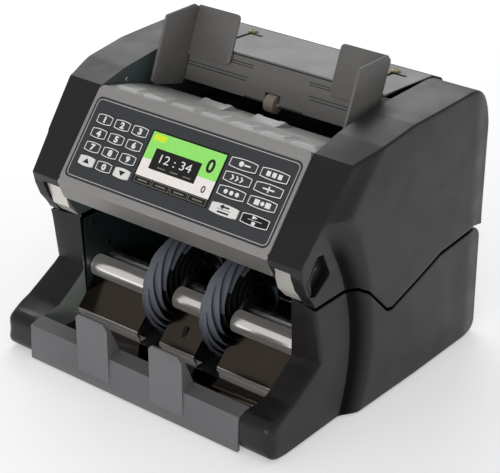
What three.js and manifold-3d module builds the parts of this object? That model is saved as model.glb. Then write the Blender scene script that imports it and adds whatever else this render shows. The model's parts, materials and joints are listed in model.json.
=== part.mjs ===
// A desk-top banknote counting machine.
//
// Notes stand in the hopper on top, between two sliding guides. The pick-up roller feeds them
// past the main roller, and two bladed wheels lay them in the stacker pocket at the front.
// The upper unit, with the key panel and the hopper, tips back on two pins to clear a jam.
//
// Millimetres. +X is the user's right, +Y is away from the user, +Z is up. While the pieces are
// drawn, y = 0 is the front of the stacker tray and z = 0 is the table.

import * as THREE from "three";
import { mergeVertices } from "three/addons/utils/BufferGeometryUtils.js";
import { ConvexGeometry } from "three/addons/geometries/ConvexGeometry.js";
import Module from "manifold-3d";

const wasm = await Module();
wasm.setup();

// ---------------------------------------------------------------- driving dimensions
// Whole machine
const width = 277; // over the rear part of the side covers
const frontWidth = 258; // over the front wings of the side covers, at the table
const depth = 252;
const bodyHeight = 208; // table to the crest of the side covers
const pocketWidth = 202; // stacker pocket, between the arms
const wall = 2.6; // moulded covers
const fit = 0.3; // between pieces that touch
const shellGap = 2.4; // open joint between the upper and the lower covers
const floorGap = 1.5; // table to the lower edge of the covers

// Joint line between the upper and the lower covers, front to rear
const jointFrontY = 53;
const jointHeight = 100;
const notchFrontY = 98; // where the line turns down
const notchY = 127; // lowest point of the notch
const notchHeight = 71.5;
const jointRearRise = 91; // height where the line levels out again
const jointRearY = 190;

// Side arms of the stacker pocket
const armTopY = 60;
const armTopHeight = 52;
const armNoseHeight = 30;

// Key panel
const panelTilt = 50.2; // degrees from the table
const panelFoot = { y: 36.1, z: 136.7 };
const panelHead = 11.1; // crest of the body down to the head of the panel
const filmMargin = 3; // bezel beside the film
const filmHeight = 64;
const filmFoot = 5.9; // up the panel, from its lower edge
const filmThickness = 0.8;
const bezelDepth = 3.2;
const bezelProud = 1.2;
const bezelLip = 16.6; // facet below the panel

// Keys and display, measured on the panel from its middle and its foot
const keyProud = 0.4;
const keyGap = 0.35;
const numberKey = { w: 14.6, h: 8 };
const numberPitch = { x: 17.35, y: 11.05 };
const numberCorner = { x: 14.8, y: 54.1 }; // in from the left edge of the film
const functionKey = { w: 24, h: 8.4 };
const functionPitch = { x: 27.2, y: 10.6 };
const functionCorner = { x: 45, y: 55.1 }; // in from the right edge of the film
const bottomKeyDrop = 2.2; // the lowest function keys stand apart from the rest
const displayMargin = 60.1; // room for the keys on each side
const display = { h: 40.4, y: 38.7 };

// Hopper
const hopperClearance = 0.4; // between a cover's inner wall and the chassis beside it
const hopperBackLean = 22; // degrees from upright
const hopperMouth = 92.5; // head of the panel to the top edge of the back plate
const backPlateRise = 11.4; // head of the panel to the top edge of the back plate
const backPlateDrop = 31;
const floorLength = 77;
const floorDrop = 27;
const sheet = 1.6;
const guideInset = 8; // hopper wall to the outside of a guide
const guideReach = 40; // side plate of a guide, front to rear
const guideFlange = 43;
const guideThickness = 2.4;
const guideAbove = 27.8; // top of the guides over the top edge of the back plate
const guideTravel = 30;
const flangeDrop = 12; // top edge of the back plate down to the foot of the flange
const ventCount = 9;
const ventPitch = 11;
const ventWidth = 3.6;
const topCoverInset = 6.5; // hopper wall to the edge of the top cover
const topCoverFall = 4.2; // front to rear
const humpSpacing = 50;

// Stacker
const trayWall = 14;
const trayHeight = 32;
const trayFloor = 9.5;
const finHeight = 58;
const finWidth = 31;
const finSpacing = 71;
const finDepth = 22;
const wheelRadius = 42;
const wheelWidth = 18;
const wheelSpacing = 56;
const wheelAxis = { y: 93, z: 51.5 };
const bladeCount = 12;
const bladeSweep = 165; // degrees from a blade's root to its tip
const bladeThickness = 1.7;
const hubRadius = 13;
const barRadius = 8.5;
const barAxis = { y: 76, z: 50 };
const lowerBend = { y: 56, z: 20, r: 4 };
const plate = 1.2;

// Drive
const shaftRadius = 4;
const mainRollerRadius = 22;
const mainRollerAxis = { y: 160, z: 66 };
const drumSpacing = 62;
const drumWidth = 32;
const motorRadius = 19;
const motorLength = 58;
const motorAxis = { y: 205, z: 42 };
const pulleyWidth = 7;
const motorPulleyRadius = 7;
const mainPulleyRadius = 14;
const stackerPulleyRadius = 19;
const beltThickness = 1.6;
const pickupRadius = 13;
const pickupDrop = 10.5; // hopper floor down to the axis of the pick-up roller
const feelerRadius = 7;
const feelerWidth = 9;
const feelerX = -3;
const chassisPlate = 1.5;

// Rear
const hingePinRadius = 3;
const hingeBehind = 8.5; // hinge axis to the rear face
const hingeHeight = 92;
const hingeRelief = 8.8; // round clearance in the lower covers about the hinge
const inlet = { w: 27, h: 20, d: 20, inset: 43 }; // inset from the pocket's side
const rocker = { w: 12.4, h: 18.6, d: 9, inset: 15 };
const rearFittingHeight = 42;

// Feet
const footRadius = 9;
const footHeight = 6;
const footInset = { side: 19, front: 26, rear: 30 };

// ---------------------------------------------------------------- values worked out from them
const halfPocket = pocketWidth / 2;
const hopperWidth = pocketWidth - 2 * (wall + hopperClearance);
const bezelWidth = hopperWidth;
const filmWidth = bezelWidth - 2 * filmMargin;
const guideSpacing = hopperWidth - 2 * guideInset;
const topCoverWidth = hopperWidth - 2 * topCoverInset;
const rearFaceY = depth - 2.2; // outer face of the lower rear cover
const tilt = THREE.MathUtils.degToRad(panelTilt);
const panelTop = { z: bodyHeight - panelHead };
panelTop.y = panelFoot.y + (panelTop.z - panelFoot.z) / Math.tan(tilt);
const panelLength = (panelTop.z - panelFoot.z) / Math.sin(tilt);
const lean = THREE.MathUtils.degToRad(hopperBackLean);
const backTop = { y: panelTop.y + hopperMouth, z: panelTop.z + backPlateRise };
const hingeAxis = { y: depth - hingeBehind, z: hingeHeight };
const chassisInner = halfPocket + fit;
const chassisOuter = chassisInner + chassisPlate;
const baseTop = footHeight + 2;
const coverInner = hopperWidth / 2 + fit;
const beltX = -(chassisOuter + 4);

// ---------------------------------------------------------------- helpers
const colours = {
  shell: [0x3a3b3c, 0.42, 0],
  tray: [0x6e6c6e, 0.55, 0],
  grey: [0x8d8e8b, 0.4, 0.1],
  bezel: [0x9c9a96, 0.35, 0.7],
  film: [0x47484b, 0.5, 0],
  key: [0x4a4b4e, 0.5, 0],
  whiteKey: [0xe8e8e6, 0.5, 0],
  glass: [0x1c2a1c, 0.1, 0],
  polished: [0xe6e4e0, 0.12, 1],
  steel: [0xa9aaab, 0.35, 1],
  rubber: [0x1d1d1e, 0.85, 0],
  wheel: [0x6b6e76, 0.5, 0],
  roller: [0xa39a8c, 0.7, 0],
  black: [0x151515, 0.5, 0],
};

function solidOf(geometry) {
  const bare = geometry.clone();
  for (const name of Object.keys(bare.attributes)) {
    if (name !== "position") bare.deleteAttribute(name);
  }
  const merged = mergeVertices(bare, 1e-4);
  return new wasm.Manifold(
    new wasm.Mesh({
      numProp: 3,
      vertProperties: new Float32Array(merged.attributes.position.array),
      triVerts: new Uint32Array(merged.index.array),
    }),
  );
}

function meshOf(name, solid, colour) {
  const { vertProperties, triVerts } = solid.getMesh();
  const geometry = new THREE.BufferGeometry();
  geometry.setAttribute("position", new THREE.BufferAttribute(vertProperties, 3));
  geometry.setIndex(new THREE.BufferAttribute(triVerts, 1));
  geometry.computeVertexNormals();
  const [color, roughness, metalness] = colours[colour];
  const mesh = new THREE.Mesh(
    geometry,
    new THREE.MeshStandardMaterial({ color, roughness, metalness }),
  );
  mesh.name = name;
  return mesh;
}

function shapeOf(points) {
  return new THREE.Shape(points.map(([a, b]) => new THREE.Vector2(a, b)));
}

const axesForX = new THREE.Matrix4().makeBasis(
  new THREE.Vector3(0, 1, 0),
  new THREE.Vector3(0, 0, 1),
  new THREE.Vector3(1, 0, 0),
);
const axesForY = new THREE.Matrix4().makeBasis(
  new THREE.Vector3(1, 0, 0),
  new THREE.Vector3(0, 0, 1),
  new THREE.Vector3(0, -1, 0),
);

function extrude(points, length) {
  const settings = { depth: length, bevelEnabled: false, curveSegments: 8 };
  return new THREE.ExtrudeGeometry(shapeOf(points), settings);
}

// A prism from a side view: points are [y, z], and it runs from x0 to x1.
function alongX(points, x0, x1) {
  return solidOf(extrude(points, x1 - x0).applyMatrix4(axesForX).translate(x0, 0, 0));
}

// A prism from a front view: points are [x, z], and it runs from y0 to y1.
function alongY(points, y0, y1) {
  return solidOf(extrude(points, y1 - y0).applyMatrix4(axesForY).translate(0, y1, 0));
}

// A prism from a plan: points are [x, y], and it runs from z0 to z1.
function alongZ(points, z0, z1) {
  return solidOf(extrude(points, z1 - z0).translate(0, 0, z0));
}

function box(x0, x1, y0, y1, z0, z1) {
  const geometry = new THREE.BoxGeometry(x1 - x0, y1 - y0, z1 - z0);
  return solidOf(geometry.translate((x0 + x1) / 2, (y0 + y1) / 2, (z0 + z1) / 2));
}

function rodX(axis, radius, x0, x1, sides = 24) {
  const geometry = new THREE.CylinderGeometry(radius, radius, x1 - x0, sides);
  geometry.rotateZ(Math.PI / 2).translate((x0 + x1) / 2, axis.y, axis.z);
  return solidOf(geometry);
}

function rodZ(x, y, radius, z0, z1, sides = 24) {
  const geometry = new THREE.CylinderGeometry(radius, radius, z1 - z0, sides);
  geometry.rotateX(Math.PI / 2).translate(x, y, (z0 + z1) / 2);
  return solidOf(geometry);
}

// Points along a circle arc, in degrees.
function arc(cy, cz, radius, from, to, steps) {
  return Array.from({ length: steps + 1 }, (_, i) => {
    const a = THREE.MathUtils.degToRad(from + ((to - from) * i) / steps);
    return [cy + radius * Math.cos(a), cz + radius * Math.sin(a)];
  });
}

function curvePoints(steps, ...controls) {
  const [a, b, c, d] = controls.map(([u, v]) => new THREE.Vector2(u, v));
  const curve = d ? new THREE.CubicBezierCurve(a, b, c, d) : new THREE.QuadraticBezierCurve(a, b, c);
  return curve.getPoints(steps).map((p) => [p.x, p.y]);
}

// The same closed outline moved inwards by a distance; it runs clockwise or anticlockwise.
function inset(points, distance) {
  const area = THREE.ShapeUtils.area(points.map(([a, b]) => new THREE.Vector2(a, b)));
  const turn = Math.sign(area);
  const count = points.length;
  return points.map(([a, b], i) => {
    const [pa, pb] = points[(i + count - 1) % count];
    const [na, nb] = points[(i + 1) % count];
    const before = new THREE.Vector2(a - pa, b - pb).normalize();
    const after = new THREE.Vector2(na - a, nb - b).normalize();
    const n1 = new THREE.Vector2(-before.y, before.x).multiplyScalar(turn);
    const n2 = new THREE.Vector2(-after.y, after.x).multiplyScalar(turn);
    const mid = n1.clone().add(n2).normalize();
    const reach = distance / Math.max(0.35, mid.dot(n1));
    return [a + mid.x * reach, b + mid.y * reach];
  });
}

// A sheet of even thickness along an open side-view line, to the left of its direction.
function sheetOutline(line, thickness) {
  const other = line.map(([a, b], i) => {
    const [pa, pb] = line[Math.max(i - 1, 0)];
    const [na, nb] = line[Math.min(i + 1, line.length - 1)];
    const along = new THREE.Vector2(na - pa, nb - pb).normalize();
    return [a - along.y * thickness, b + along.x * thickness];
  });
  return [...line, ...other.reverse()];
}

function roundedRectangle(w, h, radius, steps = 4) {
  const corner = (cx, cy, from) => arc(cx, cy, radius, from, from + 90, steps);
  return [
    ...corner(w / 2 - radius, h / 2 - radius, 0),
    ...corner(-w / 2 + radius, h / 2 - radius, 90),
    ...corner(-w / 2 + radius, -h / 2 + radius, 180),
    ...corner(w / 2 - radius, -h / 2 + radius, 270),
  ];
}

// Joins two pieces of one moulding.
const join = (first, ...others) => others.reduce((all, one) => all.add(one), first);
const cut = (first, ...others) => others.reduce((all, one) => all.subtract(one), first);

// The same piece on the other side of the machine.
function mirrored(mesh, name) {
  const copy = mesh.clone();
  copy.scale.x = -1;
  copy.name = name;
  return copy;
}

function pair(build, name) {
  const right = build(name + "_right");
  return [right, mirrored(right, name + "_left")];
}

// ---------------------------------------------------------------- side covers
const smooth = (t) => {
  const c = THREE.MathUtils.clamp(t, 0, 1);
  return c * c * (3 - 2 * c);
};

// The y of the outer edge of the key panel's cheek at a height.
const cheekEdge = (z) => panelFoot.y + (z - panelFoot.z) / Math.tan(tilt);

// The y of the valley between the front wing and the fuller rear part of a side cover.
const valleyY = (z) => Math.max(95 - (z - 62) ** 2 / 275, cheekEdge(z));

// Half the width over the side covers at a point of the side view.
function halfWidth(y, z) {
  const flare = z > panelFoot.z ? 0.09 * (z - panelFoot.z) : 0;
  const wing = frontWidth / 2 - 0.0255 * Math.min(z, panelFoot.z) + flare;
  const rise = smooth((y - valleyY(z) + 4) / (17 + 0.12 * Math.max(z - 100, 0)));
  const crown = smooth((y - valleyY(z)) / 90);
  const rearRound = 2.5 * smooth((y - depth + 24) / 24);
  const full = width / 2 - 1.5 * (1 - crown) - rearRound;
  return THREE.MathUtils.lerp(wing, full, rise);
}

// A block whose outer side is the curved face of the side cover, moved in by an inset.
function sideBlock(innerX, moveIn) {
  const low = -12;
  const high = bodyHeight + 8;
  const geometry = new THREE.BoxGeometry(1, depth + 20, high - low, 1, 20, 9);
  geometry.translate(0, depth / 2, (low + high) / 2);
  const place = geometry.attributes.position;
  for (let i = 0; i < place.count; i++) {
    const outer = halfWidth(place.getY(i), place.getZ(i)) - moveIn;
    place.setX(i, place.getX(i) > 0 ? outer : innerX);
  }
  return solidOf(geometry);
}

// The joint line between the covers, moved up or down.
function jointLine(move) {
  return [
    [jointFrontY, jointHeight + move],
    [notchFrontY - 3, jointHeight + move],
    [notchFrontY + 4, jointHeight - 4 + move],
    [notchY - 3, notchHeight + 1.5 + move],
    [notchY + 3, notchHeight + move],
    [jointRearY, jointRearRise + move],
    [hingeAxis.y - 7, jointRearRise + 3 + move],
  ];
}

function upperOutline(move = shellGap / 2) {
  const crestStart = [panelTop.y, panelTop.z];
  const crestEnd = [depth - 32, bodyHeight];
  const nose = [
    [panelFoot.y, panelFoot.z],
    [panelFoot.y + 2.4, panelFoot.z - 10],
    [panelFoot.y + 7, panelFoot.z - 21],
    [panelFoot.y + 13, panelFoot.z - 29],
  ];
  return [
    ...curvePoints(7, crestStart, [panelTop.y + 26, bodyHeight + 0.6], crestEnd),
    ...curvePoints(6, crestEnd, [depth - 4, bodyHeight], [depth, bodyHeight - 33]).slice(1),
    [depth - 1, hingeAxis.z - 2 + move],
    ...jointLine(move).reverse(),
    ...nose.reverse(),
  ];
}

function lowerOutline(move = -shellGap / 2) {
  return [
    ...jointLine(move),
    ...arc(depth - 12, jointRearRise - 9, 10, 60, 0, 3),
    ...arc(depth - 10, floorGap + 8, 8, 0, -90, 3),
    ...arc(6, floorGap + 4, 4, -90, -180, 2),
    ...arc(7, armNoseHeight - 4, 5.2, 180, 100, 3),
    [16, armNoseHeight + 2],
    [armTopY - 5, armTopHeight],
    [armTopY, armTopHeight + 5],
    [armTopY, armTopHeight + 26],
  ];
}

// A shell: the outline's block with a hollow that is open along the joint line.
function shell(outline, openOutline, innerX) {
  const outer = alongX(outline, innerX, width).intersect(sideBlock(innerX, 0));
  const hollow = alongX(inset(openOutline, wall), innerX + wall, width);
  return outer.subtract(hollow.intersect(sideBlock(innerX + wall, wall)));
}

const latchWindow = [
  [41, 123],
  [55, 140],
  [62, 139],
  [70, 121],
  [51, 108],
  [44, 110],
];
const latchInnerX = frontWidth / 2 - 9;
const bracketX = frontWidth / 2 - 13;
const earThickness = 3; // hinge ear, on the outside of the chassis plate

function upperCover(name, withLatch) {
  const earX = chassisOuter + 1.2;
  const ear = join(
    rodX(hingeAxis, 6.5, earX, earX + earThickness),
    box(earX, earX + earThickness, hingeAxis.y - 4, depth - 1.4 - wall / 2,
      hingeAxis.z, hingeAxis.z + 20),
  );
  let cover = shell(upperOutline(), upperOutline(-8), coverInner);
  if (withLatch) {
    const recess = alongX(inset(latchWindow, -wall), latchInnerX - wall, frontWidth / 2 - 5);
    cover = cut(join(cover, recess), alongX(latchWindow, latchInnerX, width));
  }
  const underCheek = alongX(noseOpening, coverInner - 1, bracketX);
  const ledge = alongX(upperOutline(), topCoverWidth / 2 + 0.8, coverInner + 1).intersect(
    box(0, width, backTop.y + 3, depth - 2 * wall - 2.4, bodyHeight - 15, bodyHeight + 2),
  );
  const pin = rodX(hingeAxis, hingePinRadius + fit, coverInner - 1, width / 2 - 12);
  return meshOf(name, cut(join(cover, ear, ledge), underCheek, pin), "shell");
}

// The opening under a cheek, where the light bracket shows.
const noseOpening = [
  [panelFoot.y - 4, panelFoot.z - 6],
  [panelFoot.y + 8, panelFoot.z - 6],
  [panelFoot.y + 22, jointHeight + 4],
  [panelFoot.y + 22, jointHeight - 2],
  [panelFoot.y - 4, jointHeight - 2],
];

function cheekBracket(name) {
  const face = [
    [panelFoot.y + 4.4, panelFoot.z - 6.6],
    [panelFoot.y + 7.6, panelFoot.z - 6.6],
    [panelFoot.y + 21.4, jointHeight + 4.6],
    [panelFoot.y + 21.4, jointHeight + 1.4],
    [panelFoot.y + 19, jointHeight + 1.4],
    [panelFoot.y + 10.5, panelFoot.z - 26],
  ];
  return meshOf(name, alongX(face, coverInner + fit, bracketX - fit), "grey");
}

function lowerCover(name) {
  const cover = shell(lowerOutline(), lowerOutline(8), halfPocket);
  const openSide = box(halfPocket - 1, halfPocket + wall + 0.1, armTopY + 3, depth - 2 - wall,
    floorGap + wall, bodyHeight);
  const relief = rodX(hingeAxis, hingeRelief, halfPocket - 1, width / 2 + 1, 28);
  return meshOf(name, cut(cover, openSide, relief), "shell");
}

// The lever in the finger recess of the right-hand wing.
function releaseLatch() {
  const lever = [
    [42.2, 122.6],
    [53.6, 136.4],
    [55.4, 131],
    [50.6, 129.8],
    [50, 125.8],
    [45.6, 122.4],
    [45.2, 117],
  ];
  return meshOf("release_latch", alongX(lever, latchInnerX + 1.2, frontWidth / 2 - 4.4), "shell");
}

// ---------------------------------------------------------------- key panel
// These pieces are drawn flat: x across, y up the panel from its foot, z out of its face.

function barrel(w, h, steps = 5) {
  const bulge = h * 0.11;
  const edge = (sign) =>
    Array.from({ length: steps + 1 }, (_, i) => {
      const t = (2 * i) / steps - 1;
      return [-sign * t * (w / 2), sign * (h / 2 - bulge + bulge * (1 - t * t))];
    });
  return [...edge(1), ...edge(-1)];
}

const moved = (points, x, y) => points.map(([a, b]) => [a + x, b + y]);

const displayWidth = filmWidth - 2 * displayMargin;

function keyList() {
  const keys = [];
  const left = -filmWidth / 2 + numberCorner.x;
  const right = filmWidth / 2 - functionCorner.x;
  const numberNames = ["1", "2", "3", "4", "5", "6", "7", "8", "9", "up", "0", "down"];
  numberNames.forEach((label, i) => {
    const x = left + (i % 3) * numberPitch.x;
    const y = numberCorner.y - Math.floor(i / 3) * numberPitch.y;
    const white = label === "up" || label === "down";
    keys.push({ name: "key_" + label, x, y, size: numberKey, colour: white ? "whiteKey" : "key" });
  });
  for (let row = 0; row < 4; row++) {
    for (let column = 0; column < 2; column++) {
      const drop = row === 3 ? bottomKeyDrop : 0;
      keys.push({
        name: "key_function_" + (row * 2 + column + 1),
        x: right + column * functionPitch.x,
        y: functionCorner.y - row * functionPitch.y - drop,
        size: functionKey,
        colour: row === 3 && column === 0 ? "whiteKey" : "key",
      });
    }
  }
  return keys;
}

const keyWindow = (key, gap) =>
  moved(barrel(key.size.w + 2 * gap, key.size.h + 2 * gap), key.x, key.y);
const displayWindow = (gap) =>
  moved(roundedRectangle(displayWidth + 2 * gap, display.h + 2 * gap, 1 + gap, 2), 0, display.y);
const filmLine = (gap) =>
  moved(roundedRectangle(filmWidth + 2 * gap, filmHeight + 2 * gap, 5), 0, filmFoot + filmHeight / 2);

function keyPanel() {
  const group = new THREE.Group();
  group.position.set(0, panelFoot.y, panelFoot.z);
  group.rotation.x = tilt;
  const keys = keyList();
  const windows = keys.map((key) => alongZ(keyWindow(key, keyGap), -9, 9));
  const screenHole = alongZ(displayWindow(keyGap), -9, 9);

  const lipLine = [
    [2, bezelProud],
    [-0.8, bezelProud - 0.6],
    [-8.3, bezelProud - 0.6 - bezelLip * 0.84],
    [-6.6, bezelProud - 1.4 - bezelLip * 0.84],
    [1.2, -bezelDepth],
    [2, -bezelDepth],
  ];
  const face = alongZ(
    moved(roundedRectangle(bezelWidth, panelLength + 0.6, 5), 0, panelLength / 2 + 0.3),
    -bezelDepth,
    bezelProud,
  );
  const lip = alongX(lipLine, -bezelWidth / 2, bezelWidth / 2);
  const filmSeat = alongZ(filmLine(keyGap), 0, bezelProud + 1);
  group.add(meshOf("front_bezel", cut(join(face, lip), filmSeat, screenHole, ...windows), "bezel"));

  const film = alongZ(filmLine(0), fit, fit + filmThickness);
  group.add(meshOf("keypad_film", cut(film, screenHole, ...windows), "film"));

  const top = fit + filmThickness;
  group.add(meshOf("display_panel", alongZ(displayWindow(0), -bezelDepth - 2, top + 0.1), "glass"));
  for (const key of keys) {
    const cap = alongZ(keyWindow(key, 0), -bezelDepth + 0.6, top + keyProud);
    group.add(meshOf(key.name, cap, key.colour));
  }
  return group;
}

// ---------------------------------------------------------------- hopper
// A point on the front of the back plate, a distance down from its top edge.
const onBack = (down, out = 0) => [
  backTop.y - down * Math.sin(lean) - out * Math.cos(lean),
  backTop.z - down * Math.cos(lean) + out * Math.sin(lean),
];

// The y of a plane parallel to the back plate, at a height.
const backY = (z, out = 0) => backTop.y - (backTop.z - z) * Math.tan(lean) - out / Math.cos(lean);

// The hopper floor's side line, from the bezel back and down to the feed gap.
function floorLine(move = 0) {
  const front = [panelTop.y + 3.4, panelTop.z - 1.4 + move];
  const rear = [panelTop.y + floorLength, panelTop.z - floorDrop + move];
  return curvePoints(7, front, [front[0] + 44, front[1] - 9], rear);
}

const feelerAxis = { y: onBack(30, -3)[0], z: onBack(30, -3)[1] };
const pickupAxis = { y: panelTop.y + 44, z: floorLine()[4][1] - pickupDrop };

function hopperFloor() {
  const half = hopperWidth / 2 - fit;
  const floor = alongX(sheetOutline(floorLine(), -sheet), -half, half);
  const hump = (x) => {
    const top = [pickupAxis.y, pickupAxis.z + pickupRadius + 2.4];
    const line = [
      [pickupAxis.y - 24, floorLine()[2][1] - 1],
      [top[0] - 6, top[1]],
      [top[0] + 3, top[1]],
      [pickupAxis.y + 16, floorLine()[5][1] - 3],
    ];
    return alongX(line, x - 13, x + 13);
  };
  const humps = [-1, 1].map((side) => hump((side * humpSpacing) / 2));
  const under = alongX(
    [...floorLine(-sheet), [panelTop.y + floorLength, panelTop.z - 60], [panelTop.y, panelTop.z - 60]],
    -half,
    half,
  );
  const slots = [-1, 1].flatMap((side) => {
    const x = (side * humpSpacing) / 2;
    return [
      rodX(pickupAxis, pickupRadius + 1, x - 8, x + 8, 20),
      box(x - 8, x + 8, pickupAxis.y + 2, pickupAxis.y + 14, pickupAxis.z, pickupAxis.z + 30),
    ];
  });
  const body = cut(join(floor, ...humps.map((one) => one.subtract(under))), ...slots);
  return meshOf("hopper_floor", body, "grey");
}

function pickupRoller() {
  const tyres = [-1, 1].map((side) => {
    const x = (side * humpSpacing) / 2;
    return rodX(pickupAxis, pickupRadius, x - 7, x + 7, 24);
  });
  const shaft = rodX(pickupAxis, shaftRadius, -coverInner + 1.4, coverInner - 1.4, 16);
  return meshOf("pickup_roller", join(shaft, ...tyres), "rubber");
}

function hopperBackPlate() {
  const half = hopperWidth / 2 - fit;
  const line = [onBack(2), onBack(backPlateDrop)];
  const foot = [
    [onBack(backPlateDrop)[0] + 8, onBack(backPlateDrop)[1] - 4],
    [onBack(backPlateDrop)[0] + 40, onBack(backPlateDrop)[1] - 8],
  ];
  const profile = sheetOutline([...line, ...foot], sheet);
  const notch = box(feelerX - 7, feelerX + 7, onBack(backPlateDrop)[0] - 6, feelerAxis.y + 14,
    feelerAxis.z - 30, feelerAxis.z + 7.6);
  const middle = box(-29, 27, onBack(backPlateDrop)[0] - 3, onBack(backPlateDrop)[0] + 3,
    onBack(backPlateDrop)[1] - 3, onBack(backPlateDrop)[1] + 0.9);
  return meshOf("hopper_back_plate", cut(alongX(profile, -half, half), notch, middle), "tray");
}

function feelerRoller() {
  const tyre = rodX(feelerAxis, feelerRadius, feelerX - feelerWidth / 2, feelerX + feelerWidth / 2);
  const pin = rodX(feelerAxis, 1.5, feelerX - 6.6, feelerX + 6.6, 12);
  return meshOf("feeler_roller", join(tyre, pin), "roller");
}

function topCover() {
  const rear = { y: depth - 12, z: backTop.z - topCoverFall };
  const line = [
    [rear.y, rear.z - 4],
    [rear.y, rear.z],
    [backTop.y, backTop.z],
  ];
  const half = topCoverWidth / 2;
  const slotX = half - 24;
  const slots = [-1, 1].flatMap((side) => {
    const x = side * slotX;
    const across = [Math.min(x, x + 12), Math.max(x, x + 12)];
    const height = [bodyHeight - 20, bodyHeight + 20];
    return [
      box(x - 1.5, x + 1.5, rear.y - 38, rear.y - 14, ...height),
      box(...across, rear.y - 18, rear.y - 15, ...height),
    ];
  });
  return meshOf("top_cover", cut(alongX(sheetOutline(line, sheet), -half, half), ...slots), "grey");
}

// A sliding guide: a side plate along the notes and a flange that lies on the back plate.
function noteGuide(name) {
  const outer = guideSpacing / 2;
  const out = 0.6;
  const top = backTop.z + guideAbove;
  const floorZ = (i) => floorLine()[i][1] + 1.6;
  const side = [
    [backY(top, out) - guideReach, top],
    [backY(top, out) - 7, top],
    [backY(top - 4, out), top - 4],
    [backY(floorZ(6), out), floorZ(6)],
    [floorLine()[4][0], floorZ(4)],
    [backY(floorZ(3), out) - guideReach, floorZ(3) + 1],
  ];
  const flange = [
    [backY(top - 2, out), top - 2],
    [backY(top - 2, out + guideThickness), top - 2],
    onBack(flangeDrop, out + guideThickness),
    onBack(flangeDrop, out),
  ];
  const body = join(
    alongX(side, outer - guideThickness, outer),
    alongX(flange, outer - guideFlange, outer - guideThickness / 2),
  );
  return meshOf(name, body, "tray");
}

// ---------------------------------------------------------------- rear covers
function rearLine(move) {
  const top = [depth - 8.5, bodyHeight - 5];
  const side = curvePoints(5, top, [depth - 1.5, bodyHeight - 12], [depth - 0.6, bodyHeight - 33]);
  return [...side, [depth - 1.4, hingeAxis.z + 6]].map(([y, z]) => [y - move, z]);
}

function slotsInRear(count, z0, z1, y0) {
  return Array.from({ length: count }, (_, i) => {
    const x = (i - (count - 1) / 2) * ventPitch;
    return box(x - ventWidth / 2, x + ventWidth / 2, y0, depth + 4, z0, z1);
  });
}

function upperRearCover() {
  const half = coverInner - 2 * fit;
  const body = alongX(sheetOutline(rearLine(0), -wall), -half, half);
  return meshOf("upper_rear_cover", cut(body, ...slotsInRear(ventCount, 120, 150, depth - 8)), "shell");
}

const inletX = inlet.inset - halfPocket;
const rockerX = rocker.inset - halfPocket;

function lowerRearCover() {
  const half = halfPocket - fit;
  const y1 = rearFaceY;
  const panel = box(-half, half, y1 - wall, y1, floorGap, hingeAxis.z - 11);
  const windowHeight = rearFittingHeight;
  const inletHole = box(inletX - inlet.w / 2 - fit, inletX + inlet.w / 2 + fit, y1 - 9, y1 + 2,
    windowHeight - inlet.h / 2 - fit, windowHeight + inlet.h / 2 + fit);
  const rockerHole = box(rockerX - rocker.w / 2 - 0.6, rockerX + rocker.w / 2 + 0.6, y1 - 9, y1 + 2,
    windowHeight - rocker.h / 2 - 1.3, windowHeight + rocker.h / 2 + 1.3);
  return meshOf("lower_rear_cover", cut(panel, inletHole, rockerHole), "shell");
}

function mainsInlet() {
  const y1 = rearFaceY;
  const z = rearFittingHeight;
  const body = box(inletX - inlet.w / 2, inletX + inlet.w / 2, y1 - inlet.d, y1,
    z - inlet.h / 2, z + inlet.h / 2);
  const rim = box(inletX - inlet.w / 2 - 1.6, inletX + inlet.w / 2 + 1.6, y1 + fit, y1 + 1.8,
    z - inlet.h / 2 - 1.6, z + inlet.h / 2 + 1.6);
  const neck = box(inletX - inlet.w / 2 + 0.5, inletX + inlet.w / 2 - 0.5, y1 - 1, y1 + 1,
    z - inlet.h / 2 + 0.5, z + inlet.h / 2 - 0.5);
  const socket = box(inletX - 11.5, inletX + 11.5, y1 - 15, y1 + 3, z - 7.5, z + 7.5);
  const blade = (x, up) => box(inletX + x - 1, inletX + x + 1, y1 - 16, y1 - 3, z + up - 2, z + up + 2);
  const blades = [blade(-7, -1.5), blade(0, 2), blade(7, -1.5)];
  return meshOf("mains_inlet", join(cut(join(body, rim, neck), socket), ...blades), "black");
}

function powerSwitch() {
  const y1 = rearFaceY;
  const z = rearFittingHeight;
  const profile = [
    [y1 - rocker.d, z - 4],
    [y1 - 2, z - rocker.h / 2],
    [y1 + 0.4, z - rocker.h / 2],
    [y1 - 0.6, z],
    [y1 + 1.8, z + rocker.h / 2],
    [y1 - 2, z + rocker.h / 2],
    [y1 - rocker.d, z + 4],
  ];
  const body = alongX(profile, rockerX - rocker.w / 2, rockerX + rocker.w / 2);
  return meshOf("power_switch", body, "black");
}

// ---------------------------------------------------------------- chassis and base
function basePlate() {
  const half = halfPocket - 0.6;
  return meshOf("base_plate", box(-half, half, 17, depth - 6, footHeight, baseTop), "steel");
}

function feet() {
  const x = halfPocket - footInset.side;
  const frontY = footInset.front;
  const rearY = depth - footInset.rear;
  const corners = { front_left: [-x, frontY], front_right: [x, frontY], rear_left: [-x, rearY],
    rear_right: [x, rearY] };
  return Object.entries(corners).map(([corner, [fx, fy]]) =>
    meshOf("foot_" + corner, rodZ(fx, fy, footRadius, 0, footHeight - fit, 20), "rubber"),
  );
}

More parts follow.
